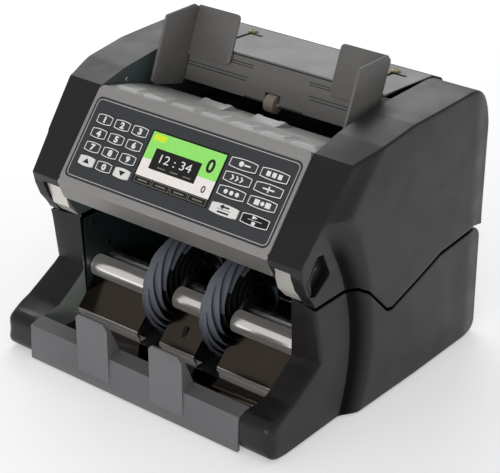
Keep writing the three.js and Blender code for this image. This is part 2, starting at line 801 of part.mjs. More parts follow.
function chassisSide(name) {
  const frontY = armTopY + 4;
  const outline = [
    [frontY, baseTop + 2],
    [frontY, jointHeight - 6],
    [notchFrontY - 2, jointHeight - 6],
    [notchY, notchHeight - 6],
    [mainRollerAxis.y, mainRollerAxis.z + 12],
    [jointRearY, jointRearRise - 7],
    [hingeAxis.y - 12, hingeAxis.z - 5],
    [hingeAxis.y - 6, hingeAxis.z + 4],
    [hingeAxis.y, hingeAxis.z + 6],
    [hingeAxis.y + 4.5, hingeAxis.z + 3],
    [hingeAxis.y + 3, hingeAxis.z - 8],
    [depth - 8, hingeAxis.z - 16],
    [depth - 8, baseTop + 2],
  ];
  const x0 = chassisInner;
  const x1 = chassisOuter;
  const hole = (axis, radius) => rodX(axis, radius + fit, x0 - 1, x1 + 1, 20);
  const body = cut(
    alongX(outline, x0, x1),
    hole(wheelAxis, shaftRadius),
    hole(mainRollerAxis, shaftRadius),
    hole(motorAxis, 3),
    hole(hingeAxis, hingePinRadius),
  );
  return meshOf(name, body, "steel");
}

function hingeRod() {
  const half = chassisOuter + 6.5;
  return meshOf("hinge_rod", rodX(hingeAxis, hingePinRadius, -half, half, 20), "steel");
}

// ---------------------------------------------------------------- stacker
function stackerTray() {
  const half = halfPocket - fit;
  const lean3 = 1.5;
  const wallLine = [
    [0, floorGap],
    [lean3, trayHeight - 2.4],
    [trayWall, trayHeight],
    [trayWall, trayFloor + 2],
    [52, trayFloor + 0.6],
    [52, baseTop + fit],
    [trayWall - 2.5, baseTop + fit],
    [trayWall - 2.5, trayHeight - 3],
    [lean3 + 2.5, trayHeight - 5],
    [2.8, floorGap],
  ];
  const finLine = [
    [0, 10],
    [0, finHeight],
    [2, finHeight],
    [trayWall - 1.6, trayHeight + 1.5],
    [finDepth, trayFloor + 1],
    [trayWall - 2, trayFloor + 1],
    [trayWall - 2, 10],
  ];
  const fins = [-1, 1].map((side) => {
    const x = (side * finSpacing) / 2;
    const face = [
      [x - finWidth / 2, 8],
      [x - finWidth / 2, finHeight - 3],
      [x - finWidth / 2 + 3, finHeight],
      [x + finWidth / 2 - 4, finHeight],
      [x + finWidth / 2, finHeight - 5],
      [x + finWidth / 2, 8],
    ];
    return alongX(finLine, x - finWidth / 2, x + finWidth / 2).intersect(alongY(face, -1, 30));
  });
  return meshOf("stacker_tray", join(alongX(wallLine, -half, half), ...fins), "tray");
}

// The polished sheet behind the notes: a rolled bar, a sloping face, a lower bend and a floor.
function stackerPlate() {
  const half = halfPocket - fit;
  const { y, z, r } = lowerBend;
  const line = [
    [barAxis.y + 9, barAxis.z + 2],
    ...arc(barAxis.y, barAxis.z, barRadius, 50, 245, 9),
    ...arc(y, z, r, 150, 245, 4),
    [y - 1, trayFloor + 5],
  ];
  const floor = [[y + 6, trayFloor + 3.4]];
  const sheetSolid = alongX(sheetOutline([...line, ...floor], plate), -half, half);
  const slots = [-1, 1].map((side) => {
    const x = (side * wheelSpacing) / 2;
    const reach = wheelWidth / 2 + 2;
    return rodX(wheelAxis, wheelRadius + 2.4, x - reach, x + reach, 40);
  });
  const tie = box(-half, half, y + 3, y + 5, trayFloor + 1.4, trayFloor + 4);
  return meshOf("stacker_plate", cut(join(sheetSolid, tie), ...slots), "polished");
}

function stackerWheel(name, x) {
  const turn = -THREE.MathUtils.degToRad(bladeSweep); // the tips trail as the wheel turns
  const steps = 9;
  const root = hubRadius - 2;
  const reach = wheelRadius - bladeThickness - root;
  const bladeLine = Array.from({ length: steps + 1 }, (_, i) => {
    const t = i / steps;
    const radius = root + reach * Math.sin((t * Math.PI) / 2);
    const angle = turn * t;
    return [radius * Math.cos(angle), radius * Math.sin(angle)];
  });
  const outline = sheetOutline(bladeLine, bladeThickness);
  const blade = (i) => {
    const a = (i * 2 * Math.PI) / bladeCount;
    const turned = outline.map(([u, v]) => [
      wheelAxis.y + u * Math.cos(a) - v * Math.sin(a),
      wheelAxis.z + u * Math.sin(a) + v * Math.cos(a),
    ]);
    return alongX(turned, x - wheelWidth / 2, x + wheelWidth / 2);
  };
  const blades = Array.from({ length: bladeCount }, (_, i) => blade(i));
  const hub = rodX(wheelAxis, hubRadius, x - wheelWidth / 2 - 2, x + wheelWidth / 2 + 2, 20);
  const bore = rodX(wheelAxis, shaftRadius + fit, x - 20, x + 20, 16);
  return meshOf(name, cut(join(hub, ...blades), bore), "wheel");
}

function stackerShaft() {
  const right = chassisOuter + 3;
  return meshOf("stacker_shaft", rodX(wheelAxis, shaftRadius, beltX - pulleyWidth - 3, right, 16), "steel");
}

// ---------------------------------------------------------------- drive
function mainRoller() {
  const shaft = rodX(mainRollerAxis, shaftRadius, beltX - pulleyWidth - 3, chassisOuter + 3, 16);
  const drums = [-1, 0, 1].map((side) => {
    const x = side * drumSpacing;
    return rodX(mainRollerAxis, mainRollerRadius, x - drumWidth / 2, x + drumWidth / 2, 28);
  });
  return meshOf("main_roller", join(shaft, ...drums), "rubber");
}

function pulley(name, axis, radius, bore) {
  const inner = beltX - pulleyWidth;
  const body = rodX(axis, radius, inner, beltX, 24);
  return meshOf(name, body.subtract(rodX(axis, bore + fit, inner - 1, beltX + 1, 16)), "black");
}

function driveMotor() {
  const inner = -chassisInner + 0.6;
  const can = rodX(motorAxis, motorRadius, inner, inner + motorLength, 28);
  const nose = rodX(motorAxis, 2.5, beltX - pulleyWidth - 1.5, inner + 1, 16);
  return meshOf("drive_motor", join(can, nose), "steel");
}

function driveBelt() {
  const wheels = [
    [motorAxis, motorPulleyRadius],
    [mainRollerAxis, mainPulleyRadius],
    [wheelAxis, stackerPulleyRadius],
  ];
  const hull = (extra, x0, x1) => {
    const points = wheels.flatMap(([axis, radius]) =>
      arc(axis.y, axis.z, radius + extra, 0, 345, 23).flatMap(([y, z]) => [
        new THREE.Vector3(x0, y, z),
        new THREE.Vector3(x1, y, z),
      ]),
    );
    return solidOf(new ConvexGeometry(points));
  };
  const x0 = beltX - pulleyWidth + 0.8;
  const x1 = beltX - 0.8;
  const loop = hull(fit + beltThickness, x0, x1).subtract(hull(fit, x0 - 1, x1 + 1));
  return meshOf("drive_belt", loop, "rubber");
}

// ---------------------------------------------------------------- assembly
const machine = new THREE.Group();
machine.position.y = -depth / 2;
const halfWheels = wheelSpacing / 2;

machine.add(
  basePlate(),
  ...feet(),
  ...pair(chassisSide, "chassis_plate"),
  hingeRod(),
  stackerTray(),
  stackerPlate(),
  stackerShaft(),
  stackerWheel("stacker_wheel_left", -halfWheels),
  stackerWheel("stacker_wheel_right", halfWheels),
  mainRoller(),
  driveMotor(),
  pulley("motor_pulley", motorAxis, motorPulleyRadius, 2.5),
  pulley("main_pulley", mainRollerAxis, mainPulleyRadius, shaftRadius),
  pulley("stacker_pulley", wheelAxis, stackerPulleyRadius, shaftRadius),
  driveBelt(),
  ...pair(lowerCover, "lower_cover"),
  lowerRearCover(),
  mainsInlet(),
  powerSwitch(),
  upperCover("upper_cover_right", true),
  mirrored(upperCover("upper_cover_left", false), "upper_cover_left"),
  ...pair(cheekBracket, "cheek_bracket"),
  releaseLatch(),
  keyPanel(),
  hopperFloor(),
  pickupRoller(),
  hopperBackPlate(),
  feelerRoller(),
  ...pair(noteGuide, "note_guide"),
  topCover(),
  upperRearCover(),
);

export default machine;
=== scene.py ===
"""Looks of a desk-top banknote counting machine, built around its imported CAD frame.

Lengths are millimetres, measured like the machine: x from its middle plane, y back from the front
of the stacker tray, z up from the table. spot() turns them into the frame's metres.
"""

import json
import math

import bmesh
import bpy
from mathutils import Matrix, Vector
from mathutils.geometry import delaunay_2d_cdt

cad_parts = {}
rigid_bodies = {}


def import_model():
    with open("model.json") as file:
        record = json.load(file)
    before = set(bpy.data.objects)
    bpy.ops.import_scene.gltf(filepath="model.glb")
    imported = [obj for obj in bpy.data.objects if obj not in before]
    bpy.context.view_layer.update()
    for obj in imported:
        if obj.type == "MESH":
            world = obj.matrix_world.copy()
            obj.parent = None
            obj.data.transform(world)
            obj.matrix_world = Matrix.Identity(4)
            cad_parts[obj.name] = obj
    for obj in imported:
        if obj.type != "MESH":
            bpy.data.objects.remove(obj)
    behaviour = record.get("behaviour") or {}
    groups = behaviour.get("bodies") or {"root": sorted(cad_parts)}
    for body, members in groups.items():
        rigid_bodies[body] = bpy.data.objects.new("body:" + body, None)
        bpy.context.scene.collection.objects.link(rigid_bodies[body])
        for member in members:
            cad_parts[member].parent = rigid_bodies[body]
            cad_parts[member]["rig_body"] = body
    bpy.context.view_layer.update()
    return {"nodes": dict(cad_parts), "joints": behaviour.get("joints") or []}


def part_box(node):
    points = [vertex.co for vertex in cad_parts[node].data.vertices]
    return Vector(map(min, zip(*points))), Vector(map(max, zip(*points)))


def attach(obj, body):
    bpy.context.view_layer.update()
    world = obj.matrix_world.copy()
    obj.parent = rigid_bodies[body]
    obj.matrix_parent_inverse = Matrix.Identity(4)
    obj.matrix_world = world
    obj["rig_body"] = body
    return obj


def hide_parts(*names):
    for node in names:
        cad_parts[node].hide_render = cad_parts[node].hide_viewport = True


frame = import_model()

# ---------------------------------------------------------------- places taken from the frame
MM = 0.001
TRAY_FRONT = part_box("stacker_tray")[0].y


def spot(x, y, z):
    """A place on the machine, in the frame's metres."""
    return Vector((x * MM, TRAY_FRONT + y * MM, z * MM))


def extent(node):
    """Lowest and highest corner of a CAD node, in the machine's millimetres."""
    low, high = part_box(node)
    shift = Vector((0, TRAY_FRONT, 0))
    return (low - shift) / MM, (high - shift) / MM


def joint(name):
    return next(j for j in frame["joints"] if j["name"] == name)


def joint_axis_place(name):
    """y and z of a joint that turns about X."""
    _, y, z = joint(name)["pos_m"]
    return (y - TRAY_FRONT) / MM, z / MM


HALF_WIDTH, DEPTH, CREST = extent("upper_cover_right")[1]
POCKET_HALF = extent("lower_cover_right")[0].x
FILM_LOW, FILM_HIGH = extent("keypad_film")
HINGE_Y, HINGE_Z = joint_axis_place("upper_hinge")
WHEEL_Y, WHEEL_Z = joint_axis_place("stacker_spin")
PRESS = Vector(joint("key_1_press")["axis"])
TILT = math.atan2(PRESS.y, -PRESS.z)
FILM_THICK = 0.8
PANEL_ORIGIN = spot(0, FILM_LOW.y, FILM_LOW.z + FILM_THICK * math.cos(TILT))
PANEL = Matrix.Translation(PANEL_ORIGIN) @ Matrix.Rotation(TILT, 4, "X")


def panel_place(node):
    """Middle of a key or of the display on the panel: across and up from the film's lower edge."""
    low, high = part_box(node)
    middle = PANEL.inverted() @ ((low + high) / 2)
    return middle.x / MM, middle.y / MM


# ---------------------------------------------------------------- materials
def srgb(hex_code):
    """Linear colour of a display colour such as 0x424244."""
    def channel(shift):
        value = ((hex_code >> shift) & 255) / 255
        return value / 12.92 if value <= 0.04045 else ((value + 0.055) / 1.055) ** 2.4
    return channel(16), channel(8), channel(0), 1.0


class Nodes:
    """Short names for the shader nodes that the materials share."""

    def __init__(self, name):
        self.material = bpy.data.materials.new(name)
        self.material.use_nodes = True
        self.tree = self.material.node_tree
        self.shader = self.tree.nodes["Principled BSDF"]
        self.place = self.tree.nodes.new("ShaderNodeTexCoord").outputs["Object"]

    def add(self, kind, **inputs):
        node = self.tree.nodes.new(kind)
        for key, value in inputs.items():
            socket = node.inputs[key.replace("_", " ")]
            if isinstance(value, bpy.types.NodeSocket):
                self.tree.links.new(value, socket)
            else:
                socket.default_value = value
        return node

    def link(self, output, key):
        self.tree.links.new(output, self.shader.inputs[key])

    def set(self, key, value):
        self.shader.inputs[key].default_value = value

    def mix(self, factor, first, second):
        """A linked colour that turns into a fixed one as factor goes to 1."""
        node = self.tree.nodes.new("ShaderNodeMix")
        node.data_type = "RGBA"
        self.tree.links.new(factor, node.inputs["Factor"])
        self.tree.links.new(first, node.inputs["A"])
        node.inputs["B"].default_value = second
        return node.outputs["Result"]

    def roughness(self, factor, low, high):
        self.link(self.ramp(factor, grey(low), grey(high)), "Roughness")

    def noise(self, scale, detail=3.0, stretch=None):
        place = self.place
        if stretch:
            mapping = self.add("ShaderNodeMapping", Vector=place)
            mapping.inputs["Scale"].default_value = stretch
            place = mapping.outputs["Vector"]
        return self.add("ShaderNodeTexNoise", Vector=place, Scale=scale, Detail=detail).outputs["Fac"]

    def ramp(self, factor, low, high, start=0.35, end=0.65):
        node = self.add("ShaderNodeValToRGB", Fac=factor)
        node.color_ramp.elements[0].position = start
        node.color_ramp.elements[1].position = end
        node.color_ramp.elements[0].color = low
        node.color_ramp.elements[1].color = high
        return node.outputs["Color"]

    def math(self, operation, a, b=0.0, c=0.0):
        node = self.tree.nodes.new("ShaderNodeMath")
        node.operation = operation
        for socket, value in zip(node.inputs, (a, b, c)):
            if isinstance(value, bpy.types.NodeSocket):
                self.tree.links.new(value, socket)
            else:
                socket.default_value = value
        return node.outputs["Value"]

    def step(self, value, low, high, start=0.0, end=1.0):
        """A smooth change from start to end while value goes from low to high."""
        node = self.add("ShaderNodeMapRange", Value=value)
        node.interpolation_type = "SMOOTHSTEP"
        for key, number in (("From Min", low), ("From Max", high), ("To Min", start), ("To Max", end)):
            node.inputs[key].default_value = number
        return node.outputs["Result"]

    def bump(self, height, distance, strength=1.0):
        return self.add("ShaderNodeBump", Height=height, Distance=distance, Strength=strength)


def grey(value):
    return (value, value, value, 1)


def scaled(colour, factor):
    return tuple(c * factor for c in colour[:3]) + (1.0,)


def moulded_nodes(name, colour, rough, grain=0.00003, grain_scale=1900.0, mottle=0.06, specular=0.5,
                  wear=0.25):
    """Moulded plastic: a fine spark grain, slight colour drift, and edges rubbed a little lighter."""
    n = Nodes(name)
    drift = n.ramp(n.noise(14.0, 4.0), scaled(colour, 1 - mottle), scaled(colour, 1 + mottle))
    edge = n.tree.nodes.new("ShaderNodeNewGeometry").outputs["Pointiness"]
    worn = n.ramp(edge, grey(0), grey(wear), 0.53, 0.62)
    n.link(n.mix(worn, drift, scaled(colour, 2.2)), "Base Color")
    n.roughness(n.noise(45.0, 5.0), rough - 0.05, rough + 0.05)
    n.set("Specular IOR Level", specular)
    grain_bump = n.bump(n.noise(grain_scale, 2.0), grain)
    n.link(grain_bump.outputs["Normal"], "Normal")
    return n


def moulded(*values, **named):
    return moulded_nodes(*values, **named).material


def metal(name, colour, rough, brush, grain):
    """Sheet or turned metal with fine lines along brush, and faint smears in its gloss."""
    n = Nodes(name)
    n.set("Metallic", 1.0)
    drift = n.ramp(n.noise(18.0, 3.0), scaled(colour, 0.93), scaled(colour, 1.05))
    n.link(drift, "Base Color")
    lines = n.noise(260.0, 3.0, brush)
    n.roughness(lines, rough * 0.75, rough * 1.3)
    n.link(n.bump(lines, grain).outputs["Normal"], "Normal")
    return n.material


def silver_paint(name, colour, rough):
    """Metallic paint on plastic: fine flakes under a clear coat."""
    n = Nodes(name)
    n.set("Metallic", 0.55)
    n.set("Coat Weight", 0.25)
    n.set("Coat Roughness", 0.25)
    flakes = n.ramp(n.noise(2600.0, 1.0), scaled(colour, 0.82), scaled(colour, 1.12), 0.3, 0.7)
    n.link(flakes, "Base Color")
    n.roughness(n.noise(60.0, 4.0), rough - 0.04, rough + 0.05)
    n.link(n.bump(n.noise(2200.0, 1.0), 0.000012).outputs["Normal"], "Normal")
    return n.material


def printed(name, colour, glow=0.0):
    """Ink or a lit area of the display."""
    n = Nodes(name)
    tone = n.ramp(n.noise(400.0, 2.0), scaled(colour, 0.96), scaled(colour, 1.03))
    n.link(tone, "Base Color")
    n.set("Roughness", 0.45)
    if glow:
        n.link(tone, "Emission Color")
        n.set("Emission Strength", glow)
    return n.material


SHELL_SPECULAR = 0.34
# The rearmost point of the valley in a side cover, and how fast it curves forward from there
VALLEY_Y, VALLEY_Z, VALLEY_BEND = 95.0, 62.0, 275.0


def shell_plastic():
    """The charcoal of the side covers, with painted shade along the valley behind the front wings."""
    n = moulded_nodes("charcoal_shell", srgb(0x1C1C1E), 0.4, mottle=0.05, specular=SHELL_SPECULAR)
    parts = n.add("ShaderNodeSeparateXYZ", Vector=n.place).outputs
    y = n.math("MULTIPLY_ADD", parts["Y"], 1 / MM, -TRAY_FRONT / MM)
    z = n.math("MULTIPLY", parts["Z"], 1 / MM)
    rise = n.math("POWER", n.math("ABSOLUTE", n.math("SUBTRACT", z, VALLEY_Z)), 2.0)
    valley = n.math("MULTIPLY_ADD", rise, -1 / VALLEY_BEND, VALLEY_Y)
    behind = n.math("SUBTRACT", y, valley)
    low_enough = n.step(z, 128.0, 160.0, 1.0, 0.0)
    painted_valley_band = n.math("MULTIPLY", n.step(behind, -3.6, -2.2), n.step(behind, 1.0, 11.0, 1.0, 0.0))
    shade = n.math("MULTIPLY", painted_valley_band, low_enough)
    colour = n.shader.inputs["Base Color"].links[0].from_socket
    # Painted shade: along the valley the colour is mixed towards near-black and the specular is lowered.
    n.link(n.mix(n.math("MULTIPLY", shade, 0.85), colour, srgb(0x060607)), "Base Color")
    n.link(n.math("MULTIPLY_ADD", shade, -0.3, SHELL_SPECULAR), "Specular IOR Level")
    return n.material


ALONG_X = (0.02, 1, 1)  # stretch of the noise that makes brushed lines


def polished_steel_painted_glow():
    """Polished steel with a faint painted glow, an emission that stands in for the light of the room in
    front of it.
    """
    material = metal("polished_steel", srgb(0xF4F0EA), 0.2, ALONG_X, 0.000004)
    shader = material.node_tree.nodes["Principled BSDF"]
    # Painted light: the steel glows a little, though it is no lamp.
    shader.inputs["Emission Color"].default_value = (1.0, 0.96, 0.92, 1)
    shader.inputs["Emission Strength"].default_value = 0.08
    return material


MATERIALS = {
    "shell": shell_plastic(),
    # Painted shade: a darker copy of the shell plastic for faces turned away from the light.
    "shell_painted_shade": moulded("charcoal_face", srgb(0x1E1B1D), 0.36, mottle=0.05, specular=0.3),
    "tray": moulded("grey_tray", srgb(0x615F61), 0.55, mottle=0.04, specular=0.3, wear=0.15),
    "guide": moulded("grey_guide", srgb(0x686664), 0.5, mottle=0.05, specular=0.35),
    "hopper": moulded("light_grey_hopper", srgb(0xA6A8A4), 0.34, mottle=0.04, wear=0.1),
    "top_grey": moulded("grey_top_cover", srgb(0x737471), 0.4, mottle=0.04, wear=0.1),
    "bezel": silver_paint("silver_bezel", srgb(0xA5A29F), 0.36),
    # Painted shade: a darker copy of the bezel's silver paint for its lip, which faces down and forward.
    "bezel_lip_painted_shade": silver_paint("silver_bezel_lip", srgb(0x7A7875), 0.36),
    "bracket": silver_paint("silver_bracket", srgb(0xCFCBC4), 0.3),
    "film": moulded("graphite_film", srgb(0x3C3D40), 0.5, 0.00001, 3200.0, 0.03, 0.25, 0.0),
    "key": moulded("key_film", srgb(0x3E3F42), 0.48, 0.00001, 3200.0, 0.03, 0.25, 0.0),
    "white_key": moulded("white_key_film", srgb(0xE4E3E0), 0.5, 0.00001, 3200.0, 0.02, 0.4, 0.0),
    "black_key": moulded("black_key_film", srgb(0x161617), 0.45, 0.00001, 3200.0, 0.03, 0.3, 0.0),
    "glass": moulded("display_black", srgb(0x1B1B18), 0.25, 0.000002, 900.0, 0.03, 0.3, 0.0),
    "polished": polished_steel_painted_glow(),
    # Painted shade: a dark brownish copy of the polished steel for its faces in shade.
    "steel_painted_shade": metal("polished_steel_in_shade", srgb(0x4A433B), 0.16, ALONG_X, 0.000004),
    "steel": metal("zinc_steel", srgb(0xB9B9BA), 0.34, (1, 0.04, 1), 0.00001),
    "brass": metal("turned_brass", srgb(0x9A8F68), 0.4, (1, 1, 1), 0.000008),
    "rubber": moulded("black_rubber", srgb(0x19191A), 0.78, 0.00006, 900.0, 0.08, 0.3, 0.3),
    "wheel": moulded("blue_grey_rubber", srgb(0x595D65), 0.5, 0.00003, 1500.0, 0.06, 0.35, 0.15),
    "roller": moulded("tan_roller", srgb(0x8E8276), 0.6, 0.00004, 1200.0, 0.08, 0.4, 0.2),
    "black": moulded("black_plastic", srgb(0x0E0E0F), 0.55, 0.00003, 1700.0, 0.06, 0.3, 0.2),
    "dark_green": moulded("dark_cover_inside", srgb(0x1E2727), 0.35, mottle=0.08, specular=0.4),
    # Painted reflection: a light grey-green copy of the shell plastic for the pocket's side walls, which
    # reflect the room.
    "arm_inside_painted_reflection": moulded("pocket_side_wall", srgb(0x8A918C), 0.3, mottle=0.08, specular=0.5),
    "inner_wall": moulded("hopper_side_wall", srgb(0x465150), 0.4, mottle=0.08, specular=0.4),
    "ink_white": printed("ink_white", srgb(0xEDEDEB)),
    "ink_black": printed("ink_black", srgb(0x0E0E0F)),
    "ink_grey": printed("ink_grey", srgb(0x7C7A70)),
    "ink_pale": printed("ink_pale", srgb(0xC4C3C0)),
    "lit_green": printed("lit_green", srgb(0x83CC60), 0.38),
    "lit_white": printed("lit_white", srgb(0xDAD4D0), 0.3),
    "lit_yellow": printed("lit_yellow", srgb(0xC8D61E), 0.3),
    "board": moulded("board_green", srgb(0x1C5631), 0.4, 0.00002, 700.0, 0.1),
}


# ---------------------------------------------------------------- mesh helpers
def finish_piece(obj, body, material, replaced=(), smooth=40.0):
    """Gives a new piece its material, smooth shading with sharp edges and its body."""
    obj.data.materials.clear()
    obj.data.materials.append(MATERIALS[material])
    if smooth:
        for face in obj.data.polygons:
            face.use_smooth = True
        obj.data.set_sharp_from_angle(angle=math.radians(smooth))
    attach(obj, body)
    if replaced:
        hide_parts(*replaced)
    return obj


def added(name, data):
    obj = bpy.data.objects.new(name, data)
    bpy.context.scene.collection.objects.link(obj)
    return obj


def object_from(name, bm):
    mesh = bpy.data.meshes.new(name)
    bmesh.ops.recalc_face_normals(bm, faces=bm.faces)
    bm.to_mesh(mesh)
    bm.free()
    return added(name, mesh)


def bridged(bm, rings, capped=False):
    """Faces from each closed ring of vertices to the next, and over both ends if capped."""
    for one, other in zip(rings, rings[1:]):
        for i in range(len(one)):
            j = (i + 1) % len(one)
            bm.faces.new((one[i], one[j], other[j], other[i]))
    if capped:
        bm.faces.new(rings[0])
        bm.faces.new(rings[-1])


def merged_flats(node):
    """A CAD node's mesh with its flat faces merged."""
    bm = bmesh.new()
    bm.from_mesh(node.data)
    bmesh.ops.remove_doubles(bm, verts=bm.verts, dist=0.00002)
    bmesh.ops.dissolve_limit(bm, angle_limit=math.radians(1.0), verts=bm.verts, edges=bm.edges)
    return bm


def round_edges(obj, width, segments):
    bevel = obj.modifiers.new("edges", "BEVEL")
    bevel.width = width * MM
    bevel.segments = segments
    bevel.limit_method = "ANGLE"
    bevel.angle_limit = math.radians(28)
    bevel.harden_normals = True
    for face in obj.data.polygons:
        face.use_smooth = True
    bevel.use_clamp_overlap = True


def bake_modifiers(obj):
    """Puts the result of the modifiers into the mesh."""
    bpy.context.view_layer.update()
    depsgraph = bpy.context.evaluated_depsgraph_get()
    mesh = bpy.data.meshes.new_from_object(obj.evaluated_get(depsgraph))
    old = obj.data
    obj.modifiers.clear()
    obj.data = mesh
    bpy.data.meshes.remove(old)
    return obj


def refined(node, width, segments, material):
    """A copy of a CAD node with its flat faces merged and its edges rounded, which stands for it."""
    source = frame["nodes"][node]
    obj = object_from(node + "_finished", merged_flats(source))
    obj.data.set_sharp_from_angle(angle=math.radians(34))
    round_edges(obj, width, segments)
    bake_modifiers(obj)
    return finish_piece(obj, source["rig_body"], material, (node,), None)


def prism(name, outline, low, high, across="x", edge=0.5, segments=2):
    """A solid from a flat outline: across x it is a side view [y, z], across y a front view [x, z],
    across z a plan [x, y], across n a view of the panel, and a matrix gives any other plane."""
    def at(a, b, depth):
        if across == "x":
            return spot(depth, a, b)
        if across == "y":
            return spot(a, depth, b)
        if across == "z":
            return spot(a, b, depth)
        place = PANEL if across == "n" else across
        return place @ (Vector((a, b, depth)) * MM)

    bm = bmesh.new()
    lower = [bm.verts.new(at(a, b, low)) for a, b in outline]
    upper = [bm.verts.new(at(a, b, high)) for a, b in outline]
    bm.faces.new(lower)
    bm.faces.new(upper)
    bridged(bm, [lower, upper])
    obj = object_from(name, bm)
    if edge:
        round_edges(obj, edge, segments)
        bake_modifiers(obj)
    return obj


def joined(name, parts):
    """One object from several, whose meshes are put together."""
    bm = bmesh.new()
    for part in parts:
        bm.from_mesh(part.data)
        mesh = part.data
        bpy.data.objects.remove(part)
        bpy.data.meshes.remove(mesh)
    return object_from(name, bm)


def lathe_x(name, profile, y, z, turns=48):
    """A turned piece on an axis along x: the profile's points are [x, radius], from end to end."""
    bm = bmesh.new()
    rings = []
    for x, radius in profile:
        ring = []
        for i in range(turns):
            a = 2 * math.pi * i / turns
            ring.append(bm.verts.new(spot(x, y + radius * math.cos(a), z + radius * math.sin(a))))
        rings.append(ring)
    bridged(bm, rings, True)
    return object_from(name, bm)


def arc(cx, cy, radius, start, end, steps):
    """Points on a circle, from one angle to another in degrees."""
    angles = [math.radians(start + (end - start) * i / steps) for i in range(steps + 1)]
    return [(cx + radius * math.cos(a), cy + radius * math.sin(a)) for a in angles]


def curve(start, control, end, steps):
    """A quadratic curve."""
    points = []
    for i in range(steps + 1):
        t = i / steps
        points.append(tuple(
            (1 - t) ** 2 * a + 2 * t * (1 - t) * b + t * t * c for a, b, c in zip(start, control, end)
        ))
    return points


def filleted(points, radius, steps=4, closed=True):
    """The outline with its corners rounded; radius is one value, or one for each point."""
    count = len(points)
    radii = radius if isinstance(radius, (list, tuple)) else [radius] * count
    result = []
    for i, point in enumerate(points):
        if radii[i] <= 0 or (not closed and i in (0, count - 1)):
            result.append(point)
            continue
        here = Vector(point)
        before = Vector(points[i - 1]) - here
        after = Vector(points[(i + 1) % count]) - here
        half = before.angle(after) / 2
        reach = min(radii[i] / math.tan(half), before.length * 0.48, after.length * 0.48)
        start = here + before.normalized() * reach
        end = here + after.normalized() * reach
        result += [tuple(p) for p in curve(start, here, end, steps)]
    return result


def resampled(points, step):
    """An open line with points no further apart than step."""
    result = [points[0]]
    for a, b in zip(points, points[1:]):
        parts = max(1, math.ceil(math.dist(a, b) / step))
        for i in range(1, parts + 1):
            t = i / parts
            result.append((a[0] + (b[0] - a[0]) * t, a[1] + (b[1] - a[1]) * t))
    return result


def inward(points):
    """For each point of a closed outline, the way to move it inwards by one millimetre."""
    count = len(points)
    area = sum(a[0] * b[1] - b[0] * a[1] for a, b in zip(points, points[1:] + points[:1]))
    turn = 1 if area > 0 else -1
    moves = []
    for i, point in enumerate(points):
        before = Vector((point[0] - points[i - 1][0], point[1] - points[i - 1][1])).normalized()
        nxt = points[(i + 1) % count]
        after = Vector((nxt[0] - point[0], nxt[1] - point[1])).normalized()
        n1 = Vector((-before.y, before.x)) * turn
        n2 = Vector((-after.y, after.x)) * turn
        middle = (n1 + n2).normalized()
        moves.append(middle / max(0.5, middle.dot(n1)))
    return moves


def inside(point, outline):
    """Whether a point lies within a closed outline."""
    x, y = point
    found = False
    for (x0, y0), (x1, y1) in zip(outline, outline[1:] + outline[:1]):
        if (y0 > y) != (y1 > y) and x < x0 + (y - y0) * (x1 - x0) / (y1 - y0):
            found = not found
    return found


def distance_to(point, outline):
    """Distance from a point to a closed outline."""
    best = 1e9
    p = Vector(point)
    for a, b in zip(outline, outline[1:] + outline[:1]):
        start, way = Vector(a), Vector(b) - Vector(a)
        t = max(0.0, min(1.0, (p - start).dot(way) / max(way.length_squared, 1e-12)))
        best = min(best, (p - start - way * t).length)
    return best


def filled(outline, hole=None, pitch=3.0):
    """Triangles that fill an outline, with a grid of points inside it so that it can be curved.
    Gives the points and the triangles; the outline's and the hole's points come first."""
    fixed = list(outline) + list(hole or [])
    edges = []
    for base, loop in ((0, outline), (len(outline), hole or [])):
        edges += [(base + i, base + (i + 1) % len(loop)) for i in range(len(loop))]
    grid = []
    ys = [p[0] for p in outline]
    zs = [p[1] for p in outline]
    rows = int((max(zs) - min(zs)) / pitch) + 1
    columns = int((max(ys) - min(ys)) / pitch) + 1
    for row in range(rows):
        for column in range(columns):
            point = (min(ys) + (column + 0.5 * (row % 2)) * pitch, min(zs) + row * pitch)
            if not inside(point, outline) or distance_to(point, outline) < pitch * 0.4:
                continue
            if hole and (inside(point, hole) or distance_to(point, hole) < pitch * 0.4):
                continue
            grid.append(point)
    points = [Vector(p) for p in fixed + grid]
    verts, _, faces, origins, _, _ = delaunay_2d_cdt(points, edges, [], 0, 1e-7, True)
    number = [old[0] if old else None for old in origins]
    extra = [new for new, old in enumerate(number) if old is None]
    for offset, new in enumerate(extra):
        number[new] = len(points) + offset
    places = [tuple(p) for p in points] + [tuple(verts[new]) for new in extra]
    triangles = [tuple(number[v] for v in face) for face in faces]
    return places, within_edges(places, triangles, edges, outline, hole)


def within_edges(places, triangles, edges, outline, hole):
    """The triangles inside the outline, and the slivers reached from them without crossing its edges."""
    barrier = {frozenset(edge) for edge in edges}
    beside = {}
    large, kept = set(), set()
    for index, (a, b, c) in enumerate(triangles):
        for edge in ((a, b), (b, c), (c, a)):
            beside.setdefault(frozenset(edge), []).append(index)
        (ax, ay), (bx, by), (cx, cy) = places[a], places[b], places[c]
        middle = ((ax + bx + cx) / 3, (ay + by + cy) / 3)
        if abs((bx - ax) * (cy - ay) - (cx - ax) * (by - ay)) > 0.2:
            large.add(index)
            if inside(middle, outline) and not (hole and inside(middle, hole)):
                kept.add(index)
    waiting = list(kept)
    while waiting:
        a, b, c = triangles[waiting.pop()]
        for edge in map(frozenset, ((a, b), (b, c), (c, a))):
            if edge not in barrier:
                new = [index for index in beside[edge] if index not in kept and index not in large]
                kept.update(new)
                waiting += new
    return [triangles[index] for index in sorted(kept)]


